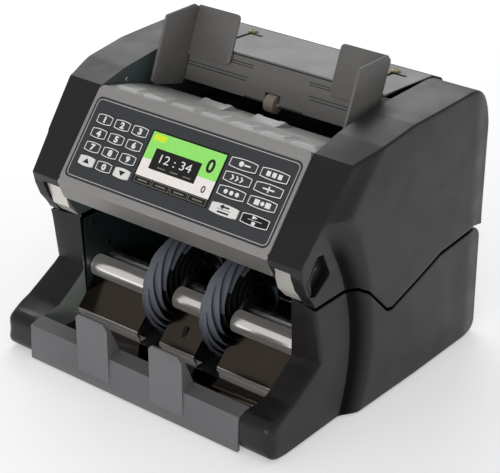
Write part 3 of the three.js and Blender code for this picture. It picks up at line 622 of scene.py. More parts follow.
# ---------------------------------------------------------------- side covers
FRONT_HALF = 129.0  # half the width over the front wings, at the table
FILM_FOOT = 5.9  # foot of the panel up to the film
PANEL_FOOT_PLACE = PANEL @ Vector((0, -FILM_FOOT * MM, -1.1 * MM))
FOOT_Y = (PANEL_FOOT_PLACE.y - TRAY_FRONT) / MM
FOOT_Z = PANEL_FOOT_PLACE.z / MM
HEAD_Z = CREST - 11.1
HEAD_Y = FOOT_Y + (HEAD_Z - FOOT_Z) / math.tan(TILT)
GAP = 2.4  # open joint between the upper and the lower covers
COVER_WALL = 2.2
COVER_INNER = 98.3
BRACKET_X = 116.0
LATCH_FLOOR_X = 120.2


def ease(t):
    t = max(0.0, min(1.0, t))
    return t * t * (3 - 2 * t)


def cheek_edge(z):
    return FOOT_Y + (z - FOOT_Z) / math.tan(TILT)


def valley_y(z):
    """Where the valley between the wing and the fuller rear part runs."""
    return max(VALLEY_Y - (z - VALLEY_Z) ** 2 / VALLEY_BEND, cheek_edge(z))


def half_width(y, z):
    flare = 0.09 * (z - FOOT_Z) if z > FOOT_Z else 0
    wing = FRONT_HALF - 0.0255 * min(z, FOOT_Z) + flare
    rise = ease((y - valley_y(z) + 4) / (17 + 0.12 * max(z - 100, 0)))
    crown = ease((y - valley_y(z)) / 90)
    rear_round = 2.5 * ease((y - DEPTH + 24) / 24)
    full = HALF_WIDTH - 1.5 * (1 - crown) - rear_round
    return wing + (full - wing) * rise


def joint_line(move):
    line = [
        (53, 100), (95, 100), (102, 96), (124, 73), (130, 71.5), (190, 91), (HINGE_Y - 7, 94),
    ]
    return [(y, z + move) for y, z in line]


def upper_segments():
    """The upper cover's outline, as stretches: points, edge radius, and how far in its wall reaches."""
    crest = [(HEAD_Y, HEAD_Z), (113, CREST - 5), (150, CREST - 0.6), (DEPTH - 32, CREST)]
    rear = curve((DEPTH - 32, CREST), (DEPTH - 4, CREST), (DEPTH, CREST - 33), 12)
    joint_rounded = filleted(joint_line(GAP / 2)[::-1], [0, 4, 2, 1.5, 1.5, 1.5, 0], 4, False)
    return [
        ([(FOOT_Y, FOOT_Z), (HEAD_Y, HEAD_Z)], 1.0, COVER_INNER),
        (filleted(crest, [0, 22, 30, 0], 6, False), 1.8, COVER_INNER),
        (rear, 2.6, COVER_INNER),
        ([(DEPTH, CREST - 33), (DEPTH - 1, HINGE_Z - 2 + GAP / 2)], 2.2, COVER_INNER),
        ([(DEPTH - 1, HINGE_Z - 2 + GAP / 2)] + joint_rounded, 0.8, None),
        ([(53, 100 + GAP / 2), (49.1, 107.7), (43.1, 115.7), (38.5, 126.7), (37.5, 131)], 0.8, BRACKET_X),
        ([(37.5, 131), (FOOT_Y, FOOT_Z)], 0.8, COVER_INNER),
    ]


def loop_of(segments, step=2.5):
    """All stretches as one closed outline: points, edge radii, and the wall of each edge."""
    points, radii, walls = [], [], []
    for line, radius, wall in segments:
        dense = resampled(line, step)
        points += dense[:-1]
        radii += [radius] * (len(dense) - 1)
        walls += [wall] * (len(dense) - 1)
    count = len(points)
    for _ in range(6):
        radii = [(radii[i - 1] + 2 * radii[i] + radii[(i + 1) % count]) / 4 for i in range(count)]
    return points, radii, walls


def edge_rings(bm, points, radii, reach, steps=4, sink=1):
    """Rounds the skin's edge: rings of vertices from the wall over to the curved side."""
    moves = inward(points)
    rings = []
    for k in range(steps + 1):
        a = math.pi / 2 * k / steps
        ring = []
        for point, move, radius in zip(points, moves, radii):
            offset = sink * radius * (1 - math.cos(a))
            y, z = point[0] + move.x * offset, point[1] + move.y * offset
            x = reach(y, z) - radius * (1 - math.sin(a))
            ring.append((bm.verts.new(spot(x, y, z)), (y, z), x))
        rings.append(ring)
    bridged(bm, [[vert for vert, _, _ in ring] for ring in rings])
    return rings


def fill_skin(bm, outline_ring, hole_ring, reach, pitch):
    """The curved side between the rings."""
    outline = [p for _, p, _ in outline_ring]
    hole = [p for _, p, _ in hole_ring] if hole_ring else None
    places, triangles = filled(outline, hole, pitch)
    verts = [v for v, _, _ in outline_ring] + ([v for v, _, _ in hole_ring] if hole_ring else [])
    verts += [bm.verts.new(spot(reach(y, z), y, z)) for y, z in places[len(verts):]]
    for a, b, c in triangles:
        if len({a, b, c}) == 3:
            bm.faces.new((verts[a], verts[b], verts[c]))


LATCH_WINDOW = [(43, 123), (55, 139.5), (62, 138.5), (69.5, 121), (53, 110.5), (47.5, 112)]


def wall_strip(bm, ring, walls, inner_points=None, rows=1):
    """The walls that run inwards from the skin's edge, each to its own depth."""
    count = len(ring)
    for i in range(count):
        j = (i + 1) % count
        if walls[i] is None:
            continue
        ends = []
        for k in (i, j):
            _, (y, z), x = ring[k]
            ty, tz = inner_points[k] if inner_points else (y, z)
            ends.append([(x + (walls[i] - x) * r / rows, y + (ty - y) * r / rows, z + (tz - z) * r / rows)
                         for r in range(1, rows + 1)])
        before = (ring[i][0], ring[j][0])
        for a, b in zip(*ends):
            after = (bm.verts.new(spot(*a)), bm.verts.new(spot(*b)))
            bm.faces.new((before[0], before[1], after[1], after[0]))
            before = after


def flat_skin(bm, outline, x):
    """A flat face of an outline at one x."""
    bm.faces.new([bm.verts.new(spot(x, y, z)) for y, z in outline])


def shell_object(name, bm):
    """Makes a closed moulding from its outer surface."""
    bmesh.ops.remove_doubles(bm, verts=bm.verts, dist=0.00003)
    bmesh.ops.recalc_face_normals(bm, faces=bm.faces)
    outward = sum(f.normal.x * f.calc_area() for f in bm.faces if f.calc_center_median().x > 0.12)
    if outward < 0:
        bmesh.ops.reverse_faces(bm, faces=bm.faces)
    mesh = bpy.data.meshes.new(name)
    bm.to_mesh(mesh)
    bm.free()
    obj = added(name, mesh)
    solid = obj.modifiers.new("wall", "SOLIDIFY")
    solid.thickness = COVER_WALL * MM
    solid.offset = -1
    solid.use_even_offset = False
    return bake_modifiers(obj)


def mirrored_copy(obj, name):
    mesh = obj.data.copy()
    mesh.transform(Matrix.Scale(-1, 4, (1, 0, 0)))
    mesh.flip_normals()
    return added(name, mesh)


def upper_cover_surface(with_latch):
    bm = bmesh.new()
    points, radii, walls = loop_of(upper_segments())
    rings = edge_rings(bm, points, radii, half_width)
    hole_ring = None
    if with_latch:
        window = filleted(LATCH_WINDOW, 1.6, 3)
        dense = resampled(window + window[:1], 2.0)[:-1]
        hole_rings = edge_rings(bm, dense, [0.5] * len(dense), half_width, 3, -1)
        hole_ring = hole_rings[-1]
        wall_strip(bm, hole_rings[0], [LATCH_FLOOR_X] * len(dense))
        flat_skin(bm, dense, LATCH_FLOOR_X)
    fill_skin(bm, rings[-1], hole_ring, half_width, 2.8)
    wall_strip(bm, rings[0], walls)
    inner = [p for p, w in zip(points, walls) if w != BRACKET_X]
    flat_skin(bm, inner, COVER_INNER)
    return bm


def paint_faces(obj, material, chosen):
    """Gives the faces that are chosen by their centre and their normal another material."""
    obj.data.materials.append(MATERIALS[material])
    index = len(obj.data.materials) - 1
    for face in obj.data.polygons:
        x, y, z = face.center / MM
        if chosen(abs(x), y - TRAY_FRONT / MM, z, face.normal):
            face.material_index = index


PANEL_WAY = PANEL.to_3x3() @ Vector((0, 0, 1))


def paint_upper_cover(obj):
    """Gives the faces beside the key panel and the nose under them painted shade, paints the hopper walls,
    and paints the latch's recess black as painted shade.
    """
    # Painted shade: the cheek faces beside the panel and their noses take the darker copy of the shell
    # plastic.
    paint_faces(obj, "shell_painted_shade", lambda x, y, z, way: way.dot(PANEL_WAY) > 0.97)
    paint_faces(obj, "shell_painted_shade", lambda x, y, z, way: y < 56 and 99 < z < FOOT_Z + 2 and abs(way.x) < 0.7)
    paint_faces(obj, "inner_wall", lambda x, y, z, way: x < COVER_INNER + 0.3 and abs(way.x) > 0.95)
    # Painted shade: the latch's recess walls and floor are painted black.
    paint_faces(obj, "black", lambda x, y, z, way: abs(x - LATCH_FLOOR_X) < 4.8 and 38 < y < 72
                and 105 < z < 142 and x < 125.2)


def upper_covers():
    right = shell_object("upper_cover_right_finished", upper_cover_surface(True))
    left_source = shell_object("upper_cover_source", upper_cover_surface(False))
    left = mirrored_copy(left_source, "upper_cover_left_finished")
    bpy.data.objects.remove(left_source)
    for cover, node in ((right, "upper_cover_right"), (left, "upper_cover_left")):
        finish_piece(cover, "upper", "shell", (node,), 30)
        paint_upper_cover(cover)


# Outer edge of an arm of the pocket, from the joint down its front, and the inner edge beside it
ARM_OUTER = [(53, 98.8), (57, 70), (59, 56), (54, 52.5), (40, 44.6), (26, 37), (12, 32)]
ARM_INNER = [(59, 98.8), (60, 70), (60, 52), (56.5, 48.5), (44, 40), (32, 32.6), (12, 30.6)]


def lower_segments():
    rear_corner = arc(DEPTH - 12.8, 81.4, 10, 60, 0, 5)  # clears the upper cover as it swings down here
    foot_corner = arc(DEPTH - 10, 9.5, 8, 0, -90, 5)
    nose = curve((12, 32), (2.5, 31), (1.6, 24), 5)
    joint_rounded = filleted(joint_line(-GAP / 2), [0, 1.5, 1.5, 1.5, 2, 4, 0], 4, False)
    return [
        (joint_rounded, 0.8, None),
        ([joint_rounded[-1]] + rear_corner, 2.0, POCKET_HALF),
        ([rear_corner[-1], foot_corner[0]], 2.2, POCKET_HALF),
        (foot_corner, 2.2, POCKET_HALF),
        ([foot_corner[-1], (11, 1.6)], 1.6, POCKET_HALF),
        (arc(11, 11, 9.4, -90, -180, 6), 4.0, POCKET_HALF),
        ([(1.6, 11), (1.6, 24)], 8.0, POCKET_HALF),
        (nose[::-1], 7.0, POCKET_HALF),
        (ARM_OUTER[::-1], 2.6, POCKET_HALF),
    ]


def inner_arm_points(points):
    """For each outline point, where its wall meets the inner side of the arm."""
    result = []
    outer = [Vector(p) for p in ARM_OUTER]
    inner = [Vector(p) for p in ARM_INNER]
    for point in points:
        p = Vector(point)
        best = None
        for (a, b), (c, d) in zip(zip(outer, outer[1:]), zip(inner, inner[1:])):
            way = b - a
            t = max(0.0, min(1.0, (p - a).dot(way) / way.length_squared))
            gap = (a + way * t - p).length
            if gap < 0.6 and (best is None or gap < best[0]):
                best = (gap, c + (d - c) * t)
        result.append(tuple(best[1]) if best else tuple(point))
    return result


def lower_cover_surface():
    bm = bmesh.new()
    points, radii, walls = loop_of(lower_segments())
    rings = edge_rings(bm, points, radii, half_width, 6)
    fill_skin(bm, rings[-1], None, half_width, 2.8)
    inner_points = inner_arm_points(points)
    wall_strip(bm, rings[0], walls, inner_points, 3)
    front = [p for p, w in zip(inner_points, walls) if w is not None and p[0] < 64]
    flat_skin(bm, front, POCKET_HALF)
    return bm


def lower_covers():
    right = shell_object("lower_cover_right_finished", lower_cover_surface())
    left = mirrored_copy(right, "lower_cover_left_finished")
    for cover, node in ((right, "lower_cover_right"), (left, "lower_cover_left")):
        finish_piece(cover, "base", "shell", (node,), 30)
        # Painted shade: the arms' faces towards the front take the darker copy of the shell plastic.
        paint_faces(cover, "shell_painted_shade", lambda x, y, z, way: y < 64 and abs(way.x) < 0.72)
        # Painted reflection on the arms' inner walls.
        paint_faces(cover, "arm_inside_painted_reflection", lambda x, y, z, way: (
            y < 64 and x < POCKET_HALF + 0.3 and abs(way.x) > 0.9))


# ---------------------------------------------------------------- key panel
INK = 0.07  # thickness of a printed layer
KEY_PROUD = 0.4
NUMBER_KEY_TALL = 8.0
FUNCTION_KEY_TALL = 8.4
FIGURE_TALL = 5.0
WHITE_KEY_NUMBER, BLACK_KEY_NUMBER = 7, 8  # function keys that stand out
DISPLAY_PROUD = 0.1
DISPLAY_HALF = 33.8
DISPLAY_PARTING = 37.5  # between the upper and the lower field, up from the panel's foot
SOFT_KEY_PITCH = 17


def barrel(width, height, steps=8):
    """A rectangle whose long sides bulge a little."""
    bulge = height * 0.11
    places = [2 * i / steps - 1 for i in range(steps + 1)]
    upper = [(-t * width / 2, height / 2 - bulge * t * t) for t in places]
    return upper + [(-x, -y) for x, y in upper]


def box_outline(x0, y0, x1, y1, radius=0.0):
    outline = [(x0, y0), (x1, y0), (x1, y1), (x0, y1)]
    return filleted(outline, radius) if radius else outline


def shifted(outline, dx, dy):
    return [(x + dx, y + dy) for x, y in outline]


def layer(name, outlines, height, material, body="upper"):
    """Printed areas on the panel, as thin solids in one piece."""
    parts = [prism(name + "_part", o, height, height + INK, "n", 0) for o in outlines]
    return finish_piece(joined(name, parts), body, material)


def ring(name, outline, width, height):
    """A printed line along the inside of an outline."""
    inner = [(x + m.x * width, y + m.y * width) for (x, y), m in zip(outline, inward(outline))]
    bm = bmesh.new()
    loops = []
    for line, z in ((outline, height), (outline, height + INK), (inner, height + INK), (inner, height)):
        loops.append([bm.verts.new(PANEL @ (Vector((x, y, z)) * MM)) for x, y in line])
    bridged(bm, loops + loops[:1])
    return object_from(name, bm)


def figures(name, words, tall, place, height, bold=0.0, squeeze=1.0):
    """Figures printed on the panel, centred on a place; tall is their height."""
    data = bpy.data.curves.new(name, "FONT")
    data.body = words
    data.size = 1.0
    data.offset = bold
    data.extrude = 0.01
    data.resolution_u = 3
    source = added(name + "_source", data)
    bpy.context.view_layer.update()
    mesh = bpy.data.meshes.new_from_object(source.evaluated_get(bpy.context.evaluated_depsgraph_get()))
    bpy.data.objects.remove(source)
    xs = [v.co.x for v in mesh.vertices]
    ys = [v.co.y for v in mesh.vertices]
    scale = tall / (max(ys) - min(ys))
    centre = Vector(((max(xs) + min(xs)) / 2, (max(ys) + min(ys)) / 2, -0.01))
    size = Matrix.Diagonal((scale * squeeze * MM, scale * MM, INK / 0.02 * MM, 1))
    at = Matrix.Translation(Vector((place[0], place[1], height)) * MM)
    mesh.transform(PANEL @ at @ size @ Matrix.Translation(-centre))
    bm = bmesh.new()
    bm.from_mesh(mesh)
    bmesh.ops.remove_doubles(bm, verts=bm.verts, dist=0.000001)
    bpy.data.meshes.remove(mesh)
    return object_from(name, bm)


def disc(cx, cy, radius, steps=16):
    return arc(cx, cy, radius, 0, 360, steps)[:-1]


# Plain signs for the function keys, in place of words: outlines measured from the key's middle
CHEVRON = [(-2, 1.9), (-0.6, 1.9), (1, 0), (-0.6, -1.9), (-2, -1.9), (-0.4, 0)]
ARROW = [(-4.5, 0), (-1.2, 2), (-1.2, 0.6), (4, 0.6), (4, -0.6), (-1.2, -0.6), (-1.2, -2)]
SIGNS = {
    1: [disc(-2, 0.2, 2.0), box_outline(0.5, -0.6, 6, 0.6)],
    2: [box_outline(-7 + 5 * i, -1.8, -3.6 + 5 * i, 1.8) for i in range(3)],
    3: [shifted(CHEVRON, dx, 0) for dx in (-4, 0, 4)],
    4: [
        box_outline(-5, -0.55, 5, 0.55),
        box_outline(-0.6, 0.7, 0.6, 2.2),
        box_outline(-0.6, -2.2, 0.6, -0.7),
    ],
    5: [disc(-5 + 5 * i, 0, 1.7) for i in range(3)],
    6: [box_outline(-7, -2, -2.6, 2), box_outline(2.6, -2, 7, 2), disc(0, 0, 1.6)],
    7: [shifted(ARROW, 0, 1.9), box_outline(-6, -0.2, 6, 0.1), box_outline(-5, -2.8, 5, -1.6)],
    8: [[(-3, 0.9), (-3, 3.3), (1.6, 2.1)], box_outline(-6, -0.1, 6, 0.2), box_outline(-2, -3.2, 1, -0.9)],
}


def key_prints(node):
    """The outline and the sign printed on a key."""
    x, y = panel_place(node)
    label = node.removeprefix("key_")
    body = frame["nodes"][node]["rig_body"]
    low, high = extent(node)
    wide = high.x - low.x
    function = label.startswith("function_")
    number = int(label[9:]) if function else 0
    tall = FUNCTION_KEY_TALL if function else NUMBER_KEY_TALL
    height = KEY_PROUD
    parts = []
    if label in ("up", "down"):
        sign = 1 if label == "up" else -1
        triangle = [(x - 3.1, y - 1.7 * sign), (x + 3.1, y - 1.7 * sign), (x, y + 2 * sign)]
        layer(node + "_sign", [triangle], height, "ink_black", body)
        return
    if number != WHITE_KEY_NUMBER:
        parts.append(ring(node + "_line", shifted(barrel(wide - 0.2, tall - 0.2), x, y), 0.6, height))
    if function:
        outlines = [shifted(sign, x, y) for sign in SIGNS[number]]
        parts += [prism("sign", o, height, height + INK, "n", 0) for o in outlines]
    else:
        parts.append(figures("figure", label, FIGURE_TALL, (x, y), height, 0.05, 1.2))
    ink = "ink_black" if number == WHITE_KEY_NUMBER else "ink_white"
    finish_piece(joined(node + "_print", parts), body, ink)


def display():
    y = -FILM_FOOT
    top = DISPLAY_PROUD

    def field(name, outlines, height, material):
        layer("display_" + name, outlines, height, material)

    def row(x0, y0, x1, y1, pitch, count):
        """A row of equal boxes."""
        return [box_outline(x0 + pitch * i, y0 + y, x1 + pitch * i, y1 + y) for i in range(count)]

    parting = DISPLAY_PARTING + y
    field("upper_field", [box_outline(-DISPLAY_HALF, parting, DISPLAY_HALF, 58 + y)], top, "lit_green")
    field("lower_field", [box_outline(-DISPLAY_HALF, 24.2 + y, DISPLAY_HALF, parting)], top, "lit_white")
    field("tag", [box_outline(-31.5, 52 + y, -20.5, 56.6 + y, 1.2)], top + INK, "lit_yellow")
    field("window", row(-25.5, 31.1, 17, 46.8, 0, 1), top + INK, "glass")
    keys = row(-33.4, 18.9, -17.6, 23.6, SOFT_KEY_PITCH, 4)
    frames = [ring("frame", key, 0.4, top) for key in keys]
    finish_piece(joined("display_soft_key_frames", frames), "upper", "ink_grey")
    field("soft_key_marks", row(-30, 20.7, -21, 21.7, SOFT_KEY_PITCH, 4), top, "ink_grey")
    clock = figures("display_clock", "12 : 34", 6.4, (-4.2, 40.4 + y), top + 2 * INK, 0.0, 1.25)
    finish_piece(clock, "upper", "ink_white")
    field("clock_marks", row(-18, 33.2, -11, 34, 12, 3), top + 2 * INK, "ink_grey")
    count = [
        figures("large", "0", 10.5, (24.6, 47.0 + y), top + INK, 0.03, 1.05),
        figures("small", "0", 5.4, (26.6, 29.8 + y), top + INK, 0.02, 1.05),
    ]
    finish_piece(joined("display_counts", count), "upper", "ink_black")


KEY_TONES = {
    "key_up": "white_key",
    "key_down": "white_key",
    f"key_function_{WHITE_KEY_NUMBER}": "white_key",
    f"key_function_{BLACK_KEY_NUMBER}": "black_key",
}


def key_panel():
    bezel = refined("front_bezel", 0.7, 3, "bezel")
    # Painted shade on the bezel's lip.
    paint_faces(bezel, "bezel_lip_painted_shade", lambda x, y, z, way: way.y < -0.5 and way.z < 0.3)
    refined("keypad_film", 0.12, 1, "film")
    refined("display_panel", 0.12, 1, "glass")
    for node in sorted(frame["nodes"]):
        if node.startswith("key_"):
            refined(node, 0.18, 2, KEY_TONES.get(node, "key"))
            key_prints(node)
    wide = (FILM_HIGH.x - FILM_LOW.x) / 2 - 1.4
    outline = filleted(box_outline(-wide, 1.4, wide, 62.6), 4.5, 5)
    finish_piece(ring("film_border", outline, 0.5, 0.0), "upper", "ink_pale")
    display()


# ---------------------------------------------------------------- hopper
LEAN = math.radians(22)
BACK_Y = HEAD_Y + 92.5  # top edge of the back plate
BACK_Z = HEAD_Z + 11.4
BACK = Matrix(((1, 0, 0, 0), (0, -math.sin(LEAN), -math.cos(LEAN), 0),
               (0, -math.cos(LEAN), math.sin(LEAN), 0), (0, 0, 0, 1)))
FLOOR_FRONT = (HEAD_Y + 3.4, HEAD_Z - 1.4)
FLOOR_REAR = (HEAD_Y + 77, HEAD_Z - 27)
GUIDE_THICK = 2.4
GUIDE_FLANGE = 43
PAD_PITCH = 27.4
PAD_WIDTH = 22.5
GROOVES = (6.3, 8.2, 16.2, 18.6)  # down the back plate from its top edge
GROOVE_WIDTH = 0.55


def on_plane(matrix, origin):
    """A turn about the origin, given in millimetres on the machine, for prism()."""
    return Matrix.Translation(spot(0, *origin)) @ matrix


def floor_z(y):
    """Height of the hopper floor."""
    control = (FLOOR_FRONT[0] + 44, FLOOR_FRONT[1] - 9)
    line = curve(FLOOR_FRONT, control, FLOOR_REAR, 24)
    for (y0, z0), (y1, z1) in zip(line, line[1:]):
        if y <= y1:
            return z0 + (z1 - z0) * (y - y0) / (y1 - y0)
    return line[-1][1]


def pad(name, x0, x1, y0, y1, height, steps=14):
    """A low flat swelling of the hopper floor with soft edges."""
    bm = bmesh.new()
    upper, lower = [], []
    for i in range(steps + 1):
        for j in range(steps + 1):
            u, v = i / steps, j / steps
            x = x0 + (x1 - x0) * u
            y = y0 + (y1 - y0) * v
            rise = height * ease(min(u, 1 - u) / 0.15) * ease(min(v, 1 - v) / 0.2)
            upper.append(bm.verts.new(spot(x, y, floor_z(y) + 0.02 + rise)))
            lower.append(bm.verts.new(spot(x, y, floor_z(y) - 0.5)))
    across = steps + 1
    for i in range(steps):
        for j in range(steps):
            a = i * across + j
            bm.faces.new((upper[a], upper[a + 1], upper[a + across + 1], upper[a + across]))
            bm.faces.new((lower[a], lower[a + across], lower[a + across + 1], lower[a + 1]))
    sides = [[i * across for i in range(across)], [i * across + steps for i in range(across)],
             list(range(across)), [steps * across + j for j in range(across)]]
    for line in sides:
        for a, b in zip(line, line[1:]):
            bm.faces.new((upper[a], upper[b], lower[b], lower[a]))
    return object_from(name, bm)


def screw_head(name, place, way, radius, body, material="brass"):
    """A pan head with a cross recess; way is the direction it faces."""
    steps = 20
    shape = [(1, 0), (1, 0.3), (0.8, 0.52), (0.45, 0.6)]  # radius and height, as parts of the radius
    bm = bmesh.new()
    rings = []
    for r, h in [(radius * a, radius * b) for a, b in shape]:
        angles = [2 * math.pi * i / steps for i in range(steps)]
        rings.append([bm.verts.new(Vector((r * math.cos(a), r * math.sin(a), h)) * MM) for a in angles])
    bridged(bm, rings, True)
    turn = Vector(way).to_track_quat("Z", "Y").to_matrix().to_4x4()
    seat = Matrix.Translation(spot(*place)) @ turn
    head = object_from(name, bm)
    head.data.transform(seat)
    finish_piece(head, body, material)
    # Painted shade: the cross recess is a thin black cross on the head, not cut in.
    arms = []
    for wide, tall in ((0.62, 0.13), (0.13, 0.62)):
        outline = [(x * radius * wide, y * radius * tall) for x, y in ((-1, -1), (1, -1), (1, 1), (-1, 1))]
        arms.append(prism("arm", outline, radius * 0.55, radius * 0.62, seat, 0))
    finish_piece(joined(name + "_recess", arms), body, "ink_black")


def note_guide(word, side):
    """A side plate along the notes and a flange that lies on the back plate, with a slot between."""
    node = "note_guide_" + word
    low, high = extent(node)
    outer = max(abs(low.x), abs(high.x))
    plate_line = side_outline_of(frame["nodes"][node], outer)
    corner_radii = [2.5 if z > high.z - 6 else 0.8 for _, z in plate_line]
    plate = prism("plate", filleted(plate_line, corner_radii, 4),
                  *sorted((side * (outer - GUIDE_THICK), side * outer)), "x", 0.7, 3)
    back = on_plane(BACK, (BACK_Y, BACK_Z))
    across = sorted((side * (outer - GUIDE_FLANGE), side * (outer - GUIDE_THICK + 0.4)))
    flange_line = box_outline(across[0], -27.4, across[1], 11.8)
    radii = [4.0, 1.5, 1.5, 4.5] if side > 0 else [1.5, 4.0, 4.5, 1.5]
    flange = prism("flange", filleted(flange_line, radii, 5), 0.7, 3.0, back, 0.7, 3)
    finish_piece(joined(node + "_finished", [plate, flange]), "guide_" + word, "guide", (node,), 40)


def side_outline_of(source, outer):
    """Corner points [y, z] of the flat side of a CAD node at its outermost x."""
    bm = merged_flats(source)
    face = max((f for f in bm.faces if abs(abs(f.calc_center_median().x) - outer * MM) < 0.0001),
               key=lambda f: f.calc_area())
    points = [((v.co.y - TRAY_FRONT) / MM, v.co.z / MM) for v in face.verts]
    bm.free()
    return points


def hopper():
    refined("hopper_floor", 0.5, 2, "hopper")
    half = extent("hopper_floor")[1].x
    pads = []
    for i in range(7):
        x = -half + 3 + i * PAD_PITCH
        pads.append(pad("pad", x, x + PAD_WIDTH, FLOOR_FRONT[0] + 5, FLOOR_FRONT[0] + 24, 1.5))
    finish_piece(joined("hopper_floor_pads", pads), "upper", "hopper", (), 60)
    refined("hopper_back_plate", 0.4, 2, "guide")
    back = on_plane(BACK, (BACK_Y, BACK_Z))
    grooves = []
    for side in (-1, 1):
        for down in GROOVES:
            near, far = sorted((side * (24 + down * 0.3), side * 88))
            outline = box_outline(near, down, far, down + GROOVE_WIDTH)
            grooves.append(prism("groove", outline, -0.3, 0.08, back, 0))
    # Painted shade: the grooves are thin black strips on the back plate.
    finish_piece(joined("hopper_back_grooves", grooves), "upper", "black")
    refined("top_cover", 0.35, 2, "top_grey")
    cover_high = extent("top_cover")[1]
    for side, word in ((-1, "left"), (1, "right")):
        x = side * (cover_high.x - 24)
        screw_head("top_cover_screw_" + word, (x, cover_high.y - 12.5, 204.4), (0, 0.07, 1), 3.9, "upper")
        screw_head("hopper_side_screw_" + word, (side * 98.2, 113, 193), (-side, 0, 0), 1.9, "upper",
                   "steel")
    note_guide("right", 1)
    note_guide("left", -1)
    refined("feeler_roller", 0.5, 2, "roller")
    refined("pickup_roller", 0.5, 2, "rubber")


# ---------------------------------------------------------------- stacker
WHEEL_RADIUS = 42.0
HUB_RADIUS = 13.0
BLADES = 12
BLADE_SWEEP = 165.0


def stacker_wheel(node):
    """A hub with thin curved blades, whose trailing tips narrow to a point."""
    low, high = extent(node)
    middle = (low.x + high.x) / 2
    half = (high.x - low.x) / 2
    profile = [(-half, 6), (-half, 11.4), (-half + 0.8, 12.2), (half - 0.8, 12.2), (half, 11.4), (half, 6)]
    hub = lathe_x("hub", [(middle + x, r) for x, r in profile], WHEEL_Y, WHEEL_Z, 40)
    parts = [hub]
    steps = 26
    for blade in range(BLADES):
        bm = bmesh.new()
        sections = []
        for i in range(steps + 1):
            t = i / steps
            radius = HUB_RADIUS - 2 + (WHEEL_RADIUS - HUB_RADIUS + 0.6) * math.sin(t * math.pi / 2)
            angle = math.radians(blade * 360 / BLADES - BLADE_SWEEP * t)
            thick = 0.75 - 0.4 * t
            wide = (half - 2) * (1 - 0.92 * ease((t - 0.62) / 0.38))
            section = []
            for x, out in ((-wide, -thick), (wide, -thick), (wide, thick), (-wide, thick)):
                r = min(radius + out, WHEEL_RADIUS - 0.1)
                section.append(bm.verts.new(spot(
                    middle + x, WHEEL_Y + r * math.cos(angle), WHEEL_Z + r * math.sin(angle))))
            sections.append(section)
        bridged(bm, sections, True)
        parts.append(object_from("blade", bm))
    wheel = finish_piece(joined(node + "_finished", parts), "stacker", "wheel", (node,), 50)
    centre = Vector((WHEEL_Y, WHEEL_Z))
    # Painted shade: the blade roots and the hub, within 31 mm of the axis, are painted black.
    paint_faces(wheel, "black", lambda x, y, z, way: (Vector((y, z)) - centre).length < 31)


def sheet_outline(line, thickness):
    """A sheet of even thickness along an open side line, to the left of its direction."""
    other = []
    for i, (a, b) in enumerate(line):
        before, after = line[max(i - 1, 0)], line[min(i + 1, len(line) - 1)]
        along = Vector((after[0] - before[0], after[1] - before[1])).normalized()
        other.append((a - along.y * thickness, b + along.x * thickness))
    return line + other[::-1]


BAR_Y, BAR_Z, BAR_RADIUS = 76.0, 50.0, 8.5
BEND_Y, BEND_Z, BEND_RADIUS = 56.0, 20.0, 4.0
WHEEL_GAP_INNER, WHEEL_GAP_OUTER = 16.9, 39.1  # the sheet leaves room for a wheel between these


def stacker_plate():
    """The polished sheet: a rolled bar, a sloping face and a lower bend, in three widths."""
    low, high = extent("stacker_plate")
    line = [(BAR_Y + 9, BAR_Z + 2)] + arc(BAR_Y, BAR_Z, BAR_RADIUS, 50, 245, 32)
    line += arc(BEND_Y, BEND_Z, BEND_RADIUS, 150, 245, 14)
    line += [(BEND_Y - 1, low.z + 0.6), (BEND_Y + 6, low.z + 0.2)]
    outline = sheet_outline(line, 1.2)
    strips = ((low.x, -WHEEL_GAP_OUTER), (-WHEEL_GAP_INNER, WHEEL_GAP_INNER), (WHEEL_GAP_OUTER, high.x))
    parts = [prism("strip", outline, x0, x1, "x", 0) for x0, x1 in strips]
    plate = finish_piece(joined("stacker_plate_finished", parts), "base", "polished",
                         ("stacker_plate",), 30)
    # Painted shade: the sloping face between the bar and the bend gets the dark copy of the polished steel.
    plate.data.materials.append(MATERIALS["steel_painted_shade"])
    for face in plate.data.polygons:
        if (BEND_Z + 3.5) * MM < face.center.z < (BAR_Z - 6.5) * MM:
            face.material_index = 1
    floor_line = box_outline(low.x, 14.6, high.x, BEND_Y - 3.2)
    floor_sheet = prism("stacker_floor_sheet", floor_line, 12.2, 12.6, "z", 0.1)
    # The floor sheet takes the same dark copy of the steel, painted shade.
    finish_piece(floor_sheet, "base", "steel_painted_shade")
    slope = Vector((-(BAR_Y - BEND_Y), -(BAR_Z - BEND_Z))).normalized()
    turn = Matrix(((1, 0, 0, 0), (0, slope.x, slope.y, 0), (0, slope.y, -slope.x, 0), (0, 0, 0, 1)))
    place = on_plane(turn, (61.6, 31.9))
    # Painted shade: a black oval on the sloping face stands for the oval hole in it.
    oval = [(1.9 * math.cos(a * math.pi / 12), 5.4 * math.sin(a * math.pi / 12)) for a in range(24)]
    finish_piece(prism("plate_oval_hole_painted_shade", oval, -0.5, 0.25, place, 0), "base", "black")


def stacker():
    refined("stacker_tray", 0.9, 3, "tray")
    stacker_plate()
    stacker_wheel("stacker_wheel_left")
    stacker_wheel("stacker_wheel_right")
    refined("stacker_shaft", 0.4, 2, "steel")


# ---------------------------------------------------------------- release latch
def release_latch():
    """The lever fills the front of its recess, flush with the wing."""
    outline = [(43.6, 122.6), (51.6, 133.6), (54.4, 132.6), (54.2, 130.2), (50, 129.8), (49.6, 126.6),
               (47.6, 125), (48.8, 113.4), (48, 113.2)]
    lever = prism("release_latch_finished", filleted(outline, 0.6), 121.6, 125.8, "x", 0.3)
    finish_piece(lever, "latch", "shell", ("release_latch",))


